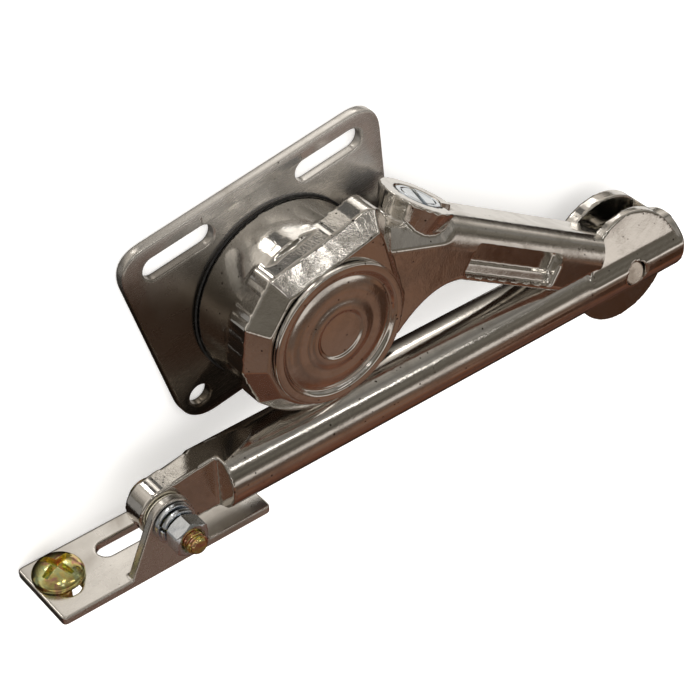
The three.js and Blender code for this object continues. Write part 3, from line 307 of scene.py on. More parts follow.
    # relief: slow ripple, orange peel, pores and scratches
    ripple = add(tree, "ShaderNodeTexNoise", {
        "Vector": place, "Scale": 1 / grain, "Detail": 3.0, "Roughness": 0.55})
    rise = add(tree, "ShaderNodeMath", {0: ripple.outputs["Fac"], 1: grain_depth}, operation="MULTIPLY")
    peel = add(tree, "ShaderNodeTexNoise", {
        "Vector": place, "Scale": 1 / speck, "Detail": 2.0, "Roughness": 0.6})
    peeled = add(tree, "ShaderNodeMapRange", {
        "Value": patches.outputs["Fac"], "From Min": 0.42, "From Max": 0.62,
        "To Min": speck_depth * 0.1, "To Max": speck_depth})
    orange_peel = add(tree, "ShaderNodeMath", {
        0: peel.outputs["Fac"], 1: peeled.outputs["Result"], 2: rise.outputs[0]}, operation="MULTIPLY_ADD")
    sink = add(tree, "ShaderNodeMath", {
        0: pits.outputs[0], 1: -PIT_DEPTH, 2: orange_peel.outputs[0]}, operation="MULTIPLY_ADD")
    cut = add(tree, "ShaderNodeMath", {
        0: sparse.outputs[0], 1: -SCRATCH_DEPTH, 2: sink.outputs[0]}, operation="MULTIPLY_ADD")
    relief = add(tree, "ShaderNodeBump", {"Height": cut.outputs[0], "Distance": mm(1), "Strength": 1.0})
    tree.links.new(relief.outputs["Normal"], shader.inputs["Normal"])
    return material


def nickel_plated_casting(colours):
    """Nickel plate on a tumbled zinc die casting: warm, fairly bright, with pin pores and dulled patches."""
    return worn_metal(
        "NickelPlatedZincCasting", (*colours.nickel, 1), (*colours.tarnish, 1), linear("#5A5048"), 0.07,
        cloud=9, pit_size=0.26, pit_spacing=1.2, pit_share=0.34, scratch=0.12, grain=2.6, grain_depth=0.016,
        direction=-10, edge_gloss=0.04, flat_sheen=0.07, tarnish=0.25, speck=0.42, speck_depth=0.027)


def nickel_plated_sheet(colours):
    """Nickel plate on pressed sheet steel: satin, with rolling lines along the sheet."""
    return worn_metal(
        "NickelPlatedSheetSteel", (*colours.steel, 1), (*colours.tarnish, 1), linear("#57493C"), 0.24,
        cloud=22, pit_size=0.2, pit_spacing=1.9, pit_share=0.22, scratch=0.3, grain=1.2, grain_depth=0.005,
        direction=4, edge_gloss=0.14, flat_sheen=0.1, speck=0.6, speck_depth=0.003)


def shaded_nickel_sheet(colours):
    """The same on the mounting plate: satin and pale at the slotted edge, painted darker lower down, painted
    shade that stands in for a dark reflection.
    """
    return worn_metal(
        "PaintedShadeNickelSheetSteel", (*colours.steel, 1), (*colours.tarnish, 1), linear("#3F3730"), 0.24,
        cloud=16, pit_size=0.2, pit_spacing=1.9, pit_share=0.22, scratch=0.3, grain=1.2, grain_depth=0.005,
        direction=4, edge_gloss=0.14, flat_sheen=0.1, speck=0.6, speck_depth=0.003,
        scatter=0.16, shaded_below=26)


def bright_zinc(colours):
    """Clear passivated zinc plate: bluish white, fine crystals, few marks."""
    return worn_metal(
        "ClearPassivatedZinc", (*colours.zinc, 1), linear("#A9B4C2"), linear("#6A6F76"), 0.12,
        cloud=3, pit_size=0.1, pit_spacing=0.9, pit_share=0.2, scratch=0.2, grain=0.9, grain_depth=0.012,
        speck=0.3, speck_depth=0.03)


def spring_steel():
    """Oil-tempered spring steel: dark grey, faint drawing lines."""
    return worn_metal(
        "OilTemperedSpringSteel", linear("#55534F"), linear("#2F2D2B"), linear("#1E1B19"), 0.34,
        cloud=5, pit_size=0.12, pit_spacing=0.8, pit_share=0.3, scratch=0.3, grain=0.6)


def turned_steel():
    """Bright turned steel under a thin nickel plate, browned where oil has dried."""
    return worn_metal(
        "TurnedPinSteel", linear("#D6CEC4"), linear("#A39484"), linear("#3A2F26"), 0.2,
        cloud=4, pit_size=0.14, pit_spacing=1.0, pit_share=0.3, scratch=0.3, grain=0.5)


def sintered_bronze():
    """Oil-filled sintered bronze: open pores, satin."""
    return worn_metal(
        "SinteredBronze", linear("#B08A55"), linear("#7C5B33"), linear("#35271A"), 0.4,
        cloud=4, pit_size=0.14, pit_spacing=0.45, pit_share=0.6, scratch=0.1, grain=0.4, grain_depth=0.01)


def yellow_zinc(colours):
    """Yellow chromate over zinc: its thin film shifts in patches from straw through green to rose."""
    material, tree, shader = new_material("YellowChromatedZinc")
    place = millimetre_space(tree)
    film = add(tree, "ShaderNodeTexNoise", {"Vector": place, "Scale": 0.32, "Detail": 2.0, "Distortion": 0.8})
    shift = add(tree, "ShaderNodeValToRGB", {"Fac": film.outputs["Fac"]})
    ramp = shift.color_ramp
    ramp.elements[0].position = 0.34
    ramp.elements[0].color = linear("#E2AC92")
    ramp.elements[1].position = 0.66
    ramp.elements[1].color = linear("#D2DDA6")
    middle = ramp.elements.new(0.5)
    middle.color = (*colours.yellow, 1)
    rub = add(tree, "ShaderNodeTexNoise", {"Vector": place, "Scale": 1.3, "Detail": 4.0})
    worn = add(tree, "ShaderNodeMapRange", {
        "Value": rub.outputs["Fac"], "From Min": 0.62, "From Max": 0.72, "To Max": 0.7})
    shade = add(tree, "ShaderNodeMix", {
        "Factor": worn.outputs["Result"], "A": shift.outputs["Color"], "B": linear("#D9D3BE")},
        data_type="RGBA")
    tree.links.new(shade.outputs["Result"], shader.inputs["Base Color"])
    shader.inputs["Metallic"].default_value = 1.0
    gloss = add(tree, "ShaderNodeMapRange", {"Value": rub.outputs["Fac"], "To Min": 0.08, "To Max": 0.26})
    tree.links.new(gloss.outputs["Result"], shader.inputs["Roughness"])
    relief = add(tree, "ShaderNodeBump", {
        "Height": rub.outputs["Fac"], "Distance": mm(0.015), "Strength": 1.0})
    tree.links.new(relief.outputs["Normal"], shader.inputs["Normal"])
    return material


def moulded(name, base, dust, roughness, grain):
    """A moulded or extruded polymer with fine dust in its surface. grain is in millimetres."""
    material, tree, shader = new_material(name)
    place = millimetre_space(tree)
    speck = add(tree, "ShaderNodeTexNoise", {
        "Vector": place, "Scale": 1 / grain, "Detail": 5.0, "Roughness": 0.7})
    cover = add(tree, "ShaderNodeMapRange", {
        "Value": speck.outputs["Fac"], "From Min": 0.5, "From Max": 0.75, "To Max": 0.5})
    shade = add(tree, "ShaderNodeMix", {
        "Factor": cover.outputs["Result"], "A": base, "B": dust}, data_type="RGBA")
    tree.links.new(shade.outputs["Result"], shader.inputs["Base Color"])
    gloss = add(tree, "ShaderNodeMapRange", {
        "Value": speck.outputs["Fac"], "To Min": roughness - 0.12, "To Max": roughness + 0.12})
    tree.links.new(gloss.outputs["Result"], shader.inputs["Roughness"])
    relief = add(tree, "ShaderNodeBump", {
        "Height": speck.outputs["Fac"], "Distance": mm(0.03), "Strength": 1.0})
    tree.links.new(relief.outputs["Normal"], shader.inputs["Normal"])
    shader.inputs["IOR"].default_value = 1.5
    return material


def nitrile_rubber():
    """Moulded nitrile rubber: black, matt, grey where dust clings."""
    return moulded("NitrileRubber", linear("#151413"), linear("#4A4641"), 0.72, 0.5)


def natural_nylon():
    """Moulded natural nylon: milky, slightly glossy."""
    return moulded("NaturalNylon", linear("#D9D2BD"), linear("#B5AA90"), 0.42, 0.8)


MATERIALS = {}  # filled by the first piece that is finished


def material_for(slot):
    """The finished material of a slot of the record, made once."""
    if not MATERIALS:
        colours = bpy.context.scene.closer.colours
        MATERIALS.update({
            "plated_casting": nickel_plated_casting(colours),
            "satin_steel": nickel_plated_sheet(colours),
            "shaded_steel": shaded_nickel_sheet(colours),
            "zinc_plate": bright_zinc(colours),
            "yellow_zinc": yellow_zinc(colours),
            "spring_steel": spring_steel(),
            "bronze": sintered_bronze(),
            "rubber": nitrile_rubber(),
            "nylon": natural_nylon(),
            "pin_steel": turned_steel(),
        })
    return MATERIALS[slot]


# ---------------------------------------------------------------- mesh helpers, in millimetres
def mesh_from(vertices, faces):
    """A mesh with its faces turned outwards."""
    mesh = bpy.data.meshes.new("shape")
    mesh.from_pydata(vertices, [], faces)
    tidy(mesh)
    return mesh


def tidy(mesh, distance=1e-4):
    """Merges doubles and turns the faces outwards."""
    shape = bmesh.new()
    shape.from_mesh(mesh)
    bmesh.ops.remove_doubles(shape, verts=shape.verts, dist=distance)
    bmesh.ops.recalc_face_normals(shape, faces=shape.faces)
    shape.to_mesh(mesh)
    shape.free()


def evaluated(mesh, *steps):
    """The mesh after modifiers, each given as (type, {setting: value})."""
    holder = bpy.data.objects.new("holder", mesh)
    bpy.context.scene.collection.objects.link(holder)
    for index, (kind, settings) in enumerate(steps):
        modifier = holder.modifiers.new(f"step{index}", kind)
        for name, value in settings.items():
            setattr(modifier, name, value)
    bpy.context.view_layer.update()
    graph = bpy.context.evaluated_depsgraph_get()
    result = bpy.data.meshes.new_from_object(holder.evaluated_get(graph))
    bpy.data.objects.remove(holder)
    return result


def softened(mesh, width, segments, angle):
    """The mesh with every edge sharper than an angle, in degrees, bevelled."""
    return evaluated(mesh, ("BEVEL", {
        "width": width, "segments": segments, "limit_method": "ANGLE", "angle_limit": math.radians(angle)}))


def remeshed(mesh, voxel):
    """The mesh rebuilt on an even grid and smoothed, which rounds its edges."""
    return evaluated(
        mesh, ("REMESH", {"mode": "VOXEL", "voxel_size": voxel, "adaptivity": 0.0}),
        ("SMOOTH", {"factor": 0.5, "iterations": 4}))


def joined(*meshes):
    """Several meshes as one."""
    shape = bmesh.new()
    for mesh in meshes:
        shape.from_mesh(mesh)
    result = bpy.data.meshes.new("joined")
    shape.to_mesh(result)
    shape.free()
    return result


def cut_from(mesh, *cutters):
    """The mesh less each cutter."""
    for cutter in cutters:
        holder = bpy.data.objects.new("cutter", cutter)
        bpy.context.scene.collection.objects.link(holder)
        mesh = evaluated(mesh, ("BOOLEAN", {"object": holder, "operation": "DIFFERENCE", "solver": "EXACT"}))
        bpy.data.objects.remove(holder)
    return mesh


def on_circle(radius, angle, height):
    """A point at a distance and an angle from the Z axis."""
    return radius * math.cos(angle), radius * math.sin(angle), height


def round_profile(points, radius, steps=4):
    """A profile's corners turned into small arcs. A point is (radius, height), or has its own corner radius
    after them."""
    smooth = []
    for index, point in enumerate(points):
        here = Vector(point[:2])
        if index in (0, len(points) - 1):
            smooth.append(here)
            continue
        own = point[2] if len(point) > 2 else radius
        before = Vector(points[index - 1][:2]) - here
        after = Vector(points[index + 1][:2]) - here
        reach = min(own, before.length * 0.45, after.length * 0.45)
        start = here + before.normalized() * reach
        end = here + after.normalized() * reach
        for step in range(steps + 1):
            share = step / steps
            smooth.append(start.lerp(here, share).lerp(here.lerp(end, share), share))
    return smooth


def turned(points, radius=0.25, sides=96, steps=4):
    """A solid of revolution about Z. Its outline runs from the axis to the axis, or closes on itself."""
    profile = round_profile(points, radius, steps)
    closed = points[0][0] > 0
    vertices = []
    for point in profile:
        for side in range(sides):
            vertices.append(on_circle(point.x, 2 * math.pi * side / sides, point.y))
    faces = []
    rows = len(profile)
    for row in range(rows if closed else rows - 1):
        low = row * sides
        high = (row + 1) % rows * sides
        for side in range(sides):
            following = (side + 1) % sides
            faces.append((low + side, low + following, high + following, high + side))
    return mesh_from(vertices, faces)


def ring(outer, inner, bottom, top, edge=0.12, sides=96):
    """A washer or bush with softened edges."""
    corners = [(inner, (bottom + top) / 2), (inner, bottom), (outer, bottom), (outer, top), (inner, top)]
    return turned(corners + [corners[0]], edge, sides, 3)


OUTLINE_STEPS = 16  # along each curve of an outline


def rounded_outline(corners):
    """An outline through corner points (x, y, corner size), each corner a smooth curve."""
    outline = []
    for index, (x, y, size) in enumerate(corners):
        here = Vector((x, y))
        before = (Vector(corners[index - 1][:2]) - here).normalized()
        after = (Vector(corners[(index + 1) % len(corners)][:2]) - here).normalized()
        reach = size / math.tan(before.angle(after) / 2)
        start = here + before * reach
        end = here + after * reach
        for step in range(OUTLINE_STEPS + 1):
            share = step / OUTLINE_STEPS
            outline.append(start.lerp(here, share).lerp(here.lerp(end, share), share))
    return outline


def slot_outline(x, y, long, wide, upright=False):
    """A slot with round ends."""
    half = (long - wide) / 2
    outline = []
    for end in (1, -1):
        for step in range(OUTLINE_STEPS + 1):
            angle = math.pi * (step / OUTLINE_STEPS - 0.5) + (0 if end > 0 else math.pi)
            point = Vector((wide / 2 * math.cos(angle) + end * half, wide / 2 * math.sin(angle)))
            outline.append(Vector((x - point.y, y + point.x)) if upright else Vector((x, y)) + point)
    return outline


def sheet_solid(outlines, bottom, top, edge):
    """A flat solid with softened edges from an outer outline and the outlines of its holes."""
    curve = bpy.data.curves.new("sheet", "CURVE")
    curve.dimensions = "2D"
    curve.fill_mode = "BOTH"
    curve.extrude = (top - bottom) / 2 - edge
    curve.bevel_depth = edge
    curve.bevel_resolution = 3
    curve.offset = -edge
    for outline in outlines:
        spline = curve.splines.new("POLY")
        spline.points.add(len(outline) - 1)
        for point, place in zip(spline.points, outline):
            point.co = (place.x, place.y, 0, 1)
        spline.use_cyclic_u = True
    holder = bpy.data.objects.new("sheet", curve)
    bpy.context.scene.collection.objects.link(holder)
    graph = bpy.context.evaluated_depsgraph_get()
    mesh = bpy.data.meshes.new_from_object(holder.evaluated_get(graph))
    bpy.data.objects.remove(holder)
    mesh.transform(Matrix.Translation((0, 0, (top + bottom) / 2)))
    tidy(mesh)
    return mesh


def finished(name, mesh, place, slot, body, *nodes, material=None, smooth_angle=32):
    """Makes a piece from a mesh in millimetres: placed, shaded, given its finish, and riding on its body."""
    mesh.transform(Matrix.Scale(mm(1), 4) @ place)
    mesh.shade_smooth()
    mesh.set_sharp_from_angle(angle=math.radians(smooth_angle))
    mesh.materials.clear()
    mesh.materials.append(material_for(material or slot))
    mesh.name = name
    piece = bpy.data.objects.new(name, mesh)
    bpy.context.scene.collection.objects.link(piece)
    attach(piece, body)
    if nodes:
        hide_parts(*nodes)
    return piece


def refinish(node, slot):
    """Gives a CAD node that keeps its shape its finished material."""
    piece = frame["nodes"][node]
    piece.data.materials.clear()
    piece.data.materials.append(material_for(slot))


# ---------------------------------------------------------------- castings
def smoothstep(value, low, high):
    """0 below low, 1 above high, smooth between."""
    share = np.clip((value - low) / (high - low), 0, 1)
    return share * share * (3 - 2 * share)


def mesh_points(mesh):
    """A mesh's points as an array."""
    points = np.empty(len(mesh.vertices) * 3)
    mesh.vertices.foreach_get("co", points)
    return points.reshape(-1, 3)


def set_mesh_points(mesh, points):
    """Puts an array of points back."""
    mesh.vertices.foreach_set("co", points.reshape(-1))
    mesh.update()


def carried(points, matrix):
    """An array of points moved by a matrix."""
    array = np.array(matrix)
    return points @ array[:3, :3].T + array[:3, 3]


def cast_copy(mesh, voxel, rounds):
    """Softens a casting's edges. Flats are put back where they were, and each round, given as
    (point, axis, radius, low, high) with low and high along its axis, is made truly round."""
    soft = remeshed(mesh, voxel)
    tree = BVHTree.FromPolygons([v.co for v in mesh.vertices], [p.vertices for p in mesh.polygons])
    points = mesh_points(soft)
    nearest = np.array([tree.find_nearest(Vector(point))[0] for point in points])
    drift = np.linalg.norm(nearest - points, axis=1)
    keep = smoothstep(drift, 0.05 * voxel, 0.4 * voxel)[:, None]
    points = nearest * (1 - keep) + points * keep
    for point, axis, radius, low, high in rounds:
        axis = np.array(Vector(axis).normalized())
        offset = points - np.array(point)
        along = offset @ axis
        across = offset - along[:, None] * axis
        distance = np.linalg.norm(across, axis=1)
        sag = 0.004 * radius + 0.04
        near = (abs(distance - radius) < sag) & (along > low) & (along < high)
        moved = np.array(point) + along[:, None] * axis + across / distance[:, None] * radius
        points[near] = moved[near]
    set_mesh_points(soft, points)
    return soft


def round_edge(mesh, place, corner, radius, start, end, blend):
    """Rolls a long edge over. In the frame of place the edge runs along X from start to end at the corner
    (y, z), and the metal lies below it in both."""
    local = carried(mesh_points(mesh), place.inverted())
    centre = np.array([corner[0] - radius, corner[1] - radius])
    offset = local[:, 1:] - centre
    distance = np.linalg.norm(offset, axis=1)
    inside = (offset[:, 0] > 0) & (offset[:, 1] > 0) & (distance > radius * 0.72)
    ends = smoothstep(local[:, 0], start, start + blend) * (1 - smoothstep(local[:, 0], end - blend, end))
    share = np.where(inside, ends, 0)[:, None]
    target = centre + offset / np.maximum(distance, 1e-6)[:, None] * radius
    local[:, 1:] = local[:, 1:] * (1 - share) + target * share
    set_mesh_points(mesh, carried(local, place))


def pocket_ledge(start, end):
    """A low ledge along the lower side of the arm's pocket, in the arm's own frame. Its top leans outwards.
    """
    outer = -6.2   # across the arm
    inner = -2.9
    floor = 20.2   # in height
    crest = 22.1
    section = [(outer, floor), (inner, floor), (inner, floor + 0.5), (inner - 0.4, crest - 0.8),
               (outer + 0.6, crest), (outer, crest)]
    vertices = [(x, y, z) for x in (start, end) for y, z in section]
    count = len(section)
    faces = [tuple(range(count)), tuple(range(2 * count - 1, count - 1, -1))]
    for index in range(count):
        following = (index + 1) % count
        faces.append((index, following, count + following, count + index))
    return mesh_from(vertices, faces)


def round_corner(mesh, centre, radius, towards, low):
    """Rounds an upright corner above a height: points past the radius from the centre, on the side towards
    the corner, are drawn in to it."""
    spread = 0.775  # cosine of the half angle that is drawn in
    reach = 1.9     # radii from the centre to the furthest point drawn in
    points = mesh_points(mesh)
    offset = points[:, :2] - np.array(centre)
    distance = np.linalg.norm(offset, axis=1)
    facing = offset @ np.array(Vector(towards).normalized()) / np.maximum(distance, 1e-6)
    past = (distance > radius) & (distance < radius * reach) & (facing > spread) & (points[:, 2] > low)
    drawn = np.array(centre) + offset / np.maximum(distance, 1e-6)[:, None] * radius
    points[past, :2] = drawn[past]
    set_mesh_points(mesh, points)


def cad_copy(node):
    """A CAD node's mesh in millimetres, merged."""
    mesh = frame["nodes"][node].data.copy()
    mesh.transform(Matrix.Scale(1000, 4))
    tidy(mesh, 1e-3)
    return mesh


# ---------------------------------------------------------------- geometry node trees
def helix_tree():
    """Wire along a helix: a spring, or the crest of a thread."""
    tree = bpy.data.node_groups.new("helix_wire", "GeometryNodeTree")
    sizes = [("Radius", "NodeSocketFloat", 1.0), ("Height", "NodeSocketFloat", 1.0),
             ("Turns", "NodeSocketFloat", 3.0), ("Wire", "NodeSocketFloat", 0.1),
             ("Steps", "NodeSocketInt", 24), ("Sides", "NodeSocketInt", 12)]
    for name, kind, default in sizes:
        tree.interface.new_socket(name, in_out="INPUT", socket_type=kind).default_value = default
    tree.interface.new_socket("Material", in_out="INPUT", socket_type="NodeSocketMaterial")
    tree.interface.new_socket("Geometry", in_out="OUTPUT", socket_type="NodeSocketGeometry")
    given = add(tree, "NodeGroupInput")
    helix = add(tree, "GeometryNodeCurveSpiral", {
        "Resolution": given.outputs["Steps"], "Rotations": given.outputs["Turns"],
        "Start Radius": given.outputs["Radius"], "End Radius": given.outputs["Radius"],
        "Height": given.outputs["Height"]})
    section = add(tree, "GeometryNodeCurvePrimitiveCircle", {
        "Resolution": given.outputs["Sides"], "Radius": given.outputs["Wire"]})
    wire = add(tree, "GeometryNodeCurveToMesh", {
        "Curve": helix.outputs["Curve"], "Profile Curve": section.outputs["Curve"], "Fill Caps": True})
    real = add(tree, "GeometryNodeRealizeInstances", {"Geometry": wire.outputs["Mesh"]})
    finish = add(tree, "GeometryNodeSetMaterial", {
        "Geometry": real.outputs["Geometry"], "Material": given.outputs["Material"]})
    output = add(tree, "NodeGroupOutput")
    tree.links.new(finish.outputs["Geometry"], output.inputs["Geometry"])
    return tree


def grown(tree, **values):
    """The mesh that a geometry node tree makes with the named inputs."""
    holder = bpy.data.objects.new("grown", bpy.data.meshes.new("grown"))
    bpy.context.scene.collection.objects.link(holder)
    modifier = holder.modifiers.new("tree", "NODES")
    modifier.node_group = tree
    sockets = {item.name: item.identifier for item in tree.interface.items_tree if item.in_out == "INPUT"}
    for name, value in values.items():
        modifier[sockets[name]] = value
    bpy.context.view_layer.update()
    graph = bpy.context.evaluated_depsgraph_get()
    mesh = bpy.data.meshes.new_from_object(holder.evaluated_get(graph))
    holder.modifiers.remove(modifier)
    bpy.data.objects.remove(holder)
    tidy(mesh, 1e-5)
    return mesh


def helix(radius, height, turns, wire, slot, steps=48, sides=12):
    """A helix of wire about Z, from z = 0 up, in millimetres."""
    tree = bpy.data.node_groups.get("helix_wire") or helix_tree()
    return grown(tree, Radius=radius, Height=height, Turns=turns, Wire=wire, Steps=steps, Sides=sides,
                 Material=material_for(slot))


# ---------------------------------------------------------------- pieces
class CLOSER_OT_plate(bpy.types.Operator):
    """Pressed mounting plate with its slots and screw holes"""
    bl_idname = "closer.plate"
    bl_label = "Mounting plate"

    def execute(self, context):
        sizes = context.scene.closer.plate
        low, high = node_box("mount_plate")
        top, bottom, top_half, bottom_half = in_mm(sizes, "top", "bottom", "top_half", "bottom_half")
        top_corner, bottom_corner, edge = in_mm(sizes, "top_corner", "bottom_corner", "edge")
        outer = rounded_outline([
            (-bottom_half, -bottom, bottom_corner), (bottom_half, -bottom, bottom_corner),
            (top_half, top, top_corner), (-top_half, top, top_corner)])
        slot_x, slot_y, slot_length, slot_width = in_mm(
            sizes, "slot_x", "slot_y", "slot_length", "slot_width")
        hole_x, hole_y, hole = in_mm(sizes, "hole_x", "hole_y", "hole")
        outlines = [outer]
        for side in (-1, 1):
            outlines.append(slot_outline(side * slot_x, slot_y, slot_length, slot_width))
            outlines.append(slot_outline(side * hole_x, -hole_y, hole, hole))
        mesh = sheet_solid(outlines, low.z, high.z, edge)
        tick_width = 0.45
        tick_length = 1.7
        tick_depth = 0.3
        tick_lean = 8     # degrees
        tick_x = slot_x - 7
        tick_y = slot_y + slot_width * 0.75
        for side in (-1, 1):
            tick = bar(tick_width, tick_length, 2 * tick_depth, tick_lean * side, high.z)
            tick.transform(Matrix.Translation((side * tick_x, tick_y, 0)))
            mesh = cut_from(mesh, tick)
        finished("pressed_plate", mesh, AT_PLATE, "satin_steel", "mount", "mount_plate",
                 material="shaded_steel")
        return {"FINISHED"}


class CLOSER_OT_seal(bpy.types.Operator):
    """Rubber ring between the plate and the drum"""
    bl_idname = "closer.seal"
    bl_label = "Drum seal"

    def execute(self, context):
        low, high = node_box("drum_seal")
        section = 0.27               # radius of the cord
        middle = low.z + 0.35
        radius = high.x - 1.1 - section
        steps = 16
        outline = []
        for step in range(steps + 1):
            angle = 2 * math.pi * step / steps
            outline.append((radius + section * math.cos(angle), middle + section * math.sin(angle)))
        mesh = turned(outline, 0, 128, 1)
        finished("seal_ring", mesh, AT_PLATE, "rubber", "mount", "drum_seal", smooth_angle=60)
        return {"FINISHED"}


class CLOSER_OT_inside(bpy.types.Operator):
    """Return spring, spindle, bearings and other pieces inside the drum and joints"""
    bl_idname = "closer.inside"
    bl_label = "Spring and bearings"

    def execute(self, context):
        low, high = node_box("return_spring")
        wire = 1.5  # radius of the spring's wire
        turns = 3
        radius = high.y - wire
        spring = helix(radius, high.z - low.z - 2 * wire, turns, wire, "spring_steel")
        spring.transform(Matrix.Translation((0, 0, low.z + wire)))
        finished("wound_spring", spring, AT_PLATE, "spring_steel", "mount", "return_spring", smooth_angle=60)
        for node in ("spindle", "spring_anchor_pin"):
            refinish(node, "satin_steel")
        for node in ("lower_thrust_washer", "upper_thrust_washer", "lower_bush", "upper_bush", "elbow_bush",
                     "foot_bush"):
            refinish(node, "bronze")
        for node in ("retaining_ring", "adjuster_washer"):
            refinish(node, "spring_steel")
        return {"FINISHED"}


class CLOSER_OT_arm(bpy.types.Operator):
    """Swing arm casting: drum, faceted head, adjuster boss, arm and tongue"""
    bl_idname = "closer.arm"
    bl_label = "Swing arm"

    def execute(self, context):
        voxel, edge_round, fork = in_mm(context.scene.closer.casting, "arm_voxel", "arm_round", "fork_radius")
        up = (0, 0, 1)
        spindle = (0, 0, 0)
        elbow = (ELBOW.x, ELBOW.y, 0)
        drum = 22.0
        head = 22.2
        spring_room = 19.2
        cap_pocket = 14.6
        tongue = 7.4
        fork_air = 0.8
        rounds = [
            (spindle, up, drum, 3.6, 14.4), (spindle, up, head, 14.6, 20.4),
            (spindle, up, cap_pocket, 20, 30), (spindle, up, spring_room, 0, 15.2),
            (elbow, up, tongue, 9, 16), (elbow, up, fork + fork_air, 6, 24),
        ]
        bend = Vector((34.0, 14.6))  # start of the arm's straight part, along and off the spindle-elbow line
        slope = math.atan2(-bend.y, ELBOW.xy.length - bend.x)
        along_arm = AT_ARM @ Matrix.Translation((bend.x, bend.y, 0)) @ Matrix.Rotation(slope, 4, "Z")
        pocket_start = 3.8
        pocket_end = 36.2
        ledge = pocket_ledge(pocket_start, pocket_end)
        ledge.transform(along_arm)
        mesh = cast_copy(joined(cad_copy("swing_arm"), ledge), voxel, rounds)
        front_corner = (7.0, 23.6)  # half the arm's width, and its front face
        round_edge(mesh, along_arm, front_corner, edge_round, -8, 62, 4)
        tip_centre = (15.6, 18.1)
        tip_radius = 4.0
        tip_direction = (0.515, 0.857)
        head_back = 14.0
        round_corner(mesh, tip_centre, tip_radius, tip_direction, head_back)
        finished("cast_swing_arm", mesh, AT_PLATE, "plated_casting", "arm", "swing_arm", smooth_angle=50)
        return {"FINISHED"}


class CLOSER_OT_cap(bpy.types.Operator):
    """Pressed hub cap"""
    bl_idname = "closer.cap"
    bl_label = "Hub cap"

    def execute(self, context):
        low, high = node_box("hub_cap")
        rim = high.x
        crown = high.z
        seat = 24.9      # height of the rim's back
        skirt = 14.3     # outside of the skirt that holds it in its pocket
        wall = 1.1
        centre = 7.5     # where the raised centre begins
        groove = seat + 0.3
        dome = seat + 1.02
        mesh = turned([
            (0, seat), (skirt - wall, seat), (skirt - wall, low.z), (skirt, low.z), (skirt, seat),
            (rim, seat, 0.35), (rim, crown, 0.7), (rim - 2.2, crown, 0.6), (rim - 3.0, groove, 0.5),
            (rim - 4.4, groove + 0.44, 2.0), (rim - 6.3, dome, 3.0), (centre + 1.3, dome - 0.04, 0.7),
            (centre, crown - 0.05, 0.5), (centre - 1.3, crown, 0.4), (centre - 2, crown - 0.36, 0.4),
            (0, crown - 0.12)], 0.25, 128, 8)
        finished("pressed_cap", mesh, AT_PLATE, "plated_casting", "arm", "hub_cap")
        return {"FINISHED"}


def boss_place():
    """The adjuster boss's frame, its face's centre at the origin and +Z out of it."""
    out = Vector(joint_named("adjuster_turn")["axis"]).normalized()
    side = Vector((0, 0, 1)).cross(out).normalized()
    return Matrix.Translation(ADJUSTER) @ Matrix((side, out.cross(side), out)).transposed().to_4x4()


def bar(length_x, length_y, length_z, turn, height):
    """A box about the Z axis, turned, with its middle at a height."""
    mesh = bpy.data.meshes.new("bar")
    shape = bmesh.new()
    bmesh.ops.create_cube(shape, size=1)
    shape.to_mesh(mesh)
    shape.free()
    size = Matrix.Diagonal((length_x, length_y, length_z, 1))
    mesh.transform(Matrix.Translation((0, 0, height)) @ Matrix.Rotation(math.radians(turn), 4, "Z") @ size)
    return mesh


class CLOSER_OT_adjuster(bpy.types.Operator):
    """Slotted adjuster screw in its boss"""
    bl_idname = "closer.adjuster"
    bl_label = "Adjuster screw"

    def execute(self, context):
        head = 5.6
        head_height = 2.6
        shank = 3.0
        end = -12.6
        ring_mark = 4.2  # a fine turned ring in the face
        mesh = turned([
            (0, end), (shank - 0.6, end), (shank, end + 0.6), (shank, -head_height, 0.1),
            (head, -head_height, 0.2), (head, 0, 0.6), (ring_mark + 0.2, 0, 0.1), (ring_mark, -0.25, 0.1),
            (ring_mark - 0.3, 0, 0.1), (0, 0.0)], 0.15, 72)
        slot_width = 1.4
        slot_depth = 1.3
        slot_turn = 65  # degrees
        mesh = cut_from(mesh, bar(13, slot_width, 2 * slot_depth, slot_turn, 0))
        mesh = softened(mesh, 0.1, 2, 50)
        finished("slotted_adjuster", mesh, boss_place(), "zinc_plate", "adjuster", "adjuster_screw")
        return {"FINISHED"}


class CLOSER_OT_link(bpy.types.Operator):
    """Link rod casting: fork, round rod and flat end"""
    bl_idname = "closer.link"
    bl_label = "Link rod"

    def execute(self, context):
        sizes = context.scene.closer.casting
        voxel, radius, axis, fork, nose = in_mm(
            sizes, "rod_voxel", "rod_radius", "rod_axis", "fork_radius", "nose_radius")
        along = AT_LINK.to_3x3() @ Vector((-1, 0, 0))
        start = (ELBOW.x, ELBOW.y, axis)
        elbow = (ELBOW.x, ELBOW.y, 0)
        foot = (FOOT.x, FOOT.y, 0)
        rounds = [
            (start, along, radius, -30, ROD_REACH + 10), (elbow, (0, 0, 1), fork, 6.4, 18),
            (foot, (0, 0, 1), nose, 10, 17), (elbow, (0, 0, 1), 3.3, 0, 30),
        ]
        mesh = cast_copy(cad_copy("link_rod"), voxel, rounds)
        points = mesh_points(mesh)
        local = carried(points, AT_LINK.inverted())
        cheek_drop = 0.8  # the fork's front cheek lies this far below the rod's crown
        fork_side = smoothstep(local[:, 0], -17, -13)
        front = smoothstep(local[:, 2], 16.8, 18.2)
        points[:, 2] -= cheek_drop * smoothstep(local[:, 1], 2, 6) * fork_side * front
        set_mesh_points(mesh, points)
        finished("cast_link_rod", mesh, AT_PLATE, "plated_casting", "link", "link_rod", smooth_angle=50)
        return {"FINISHED"}


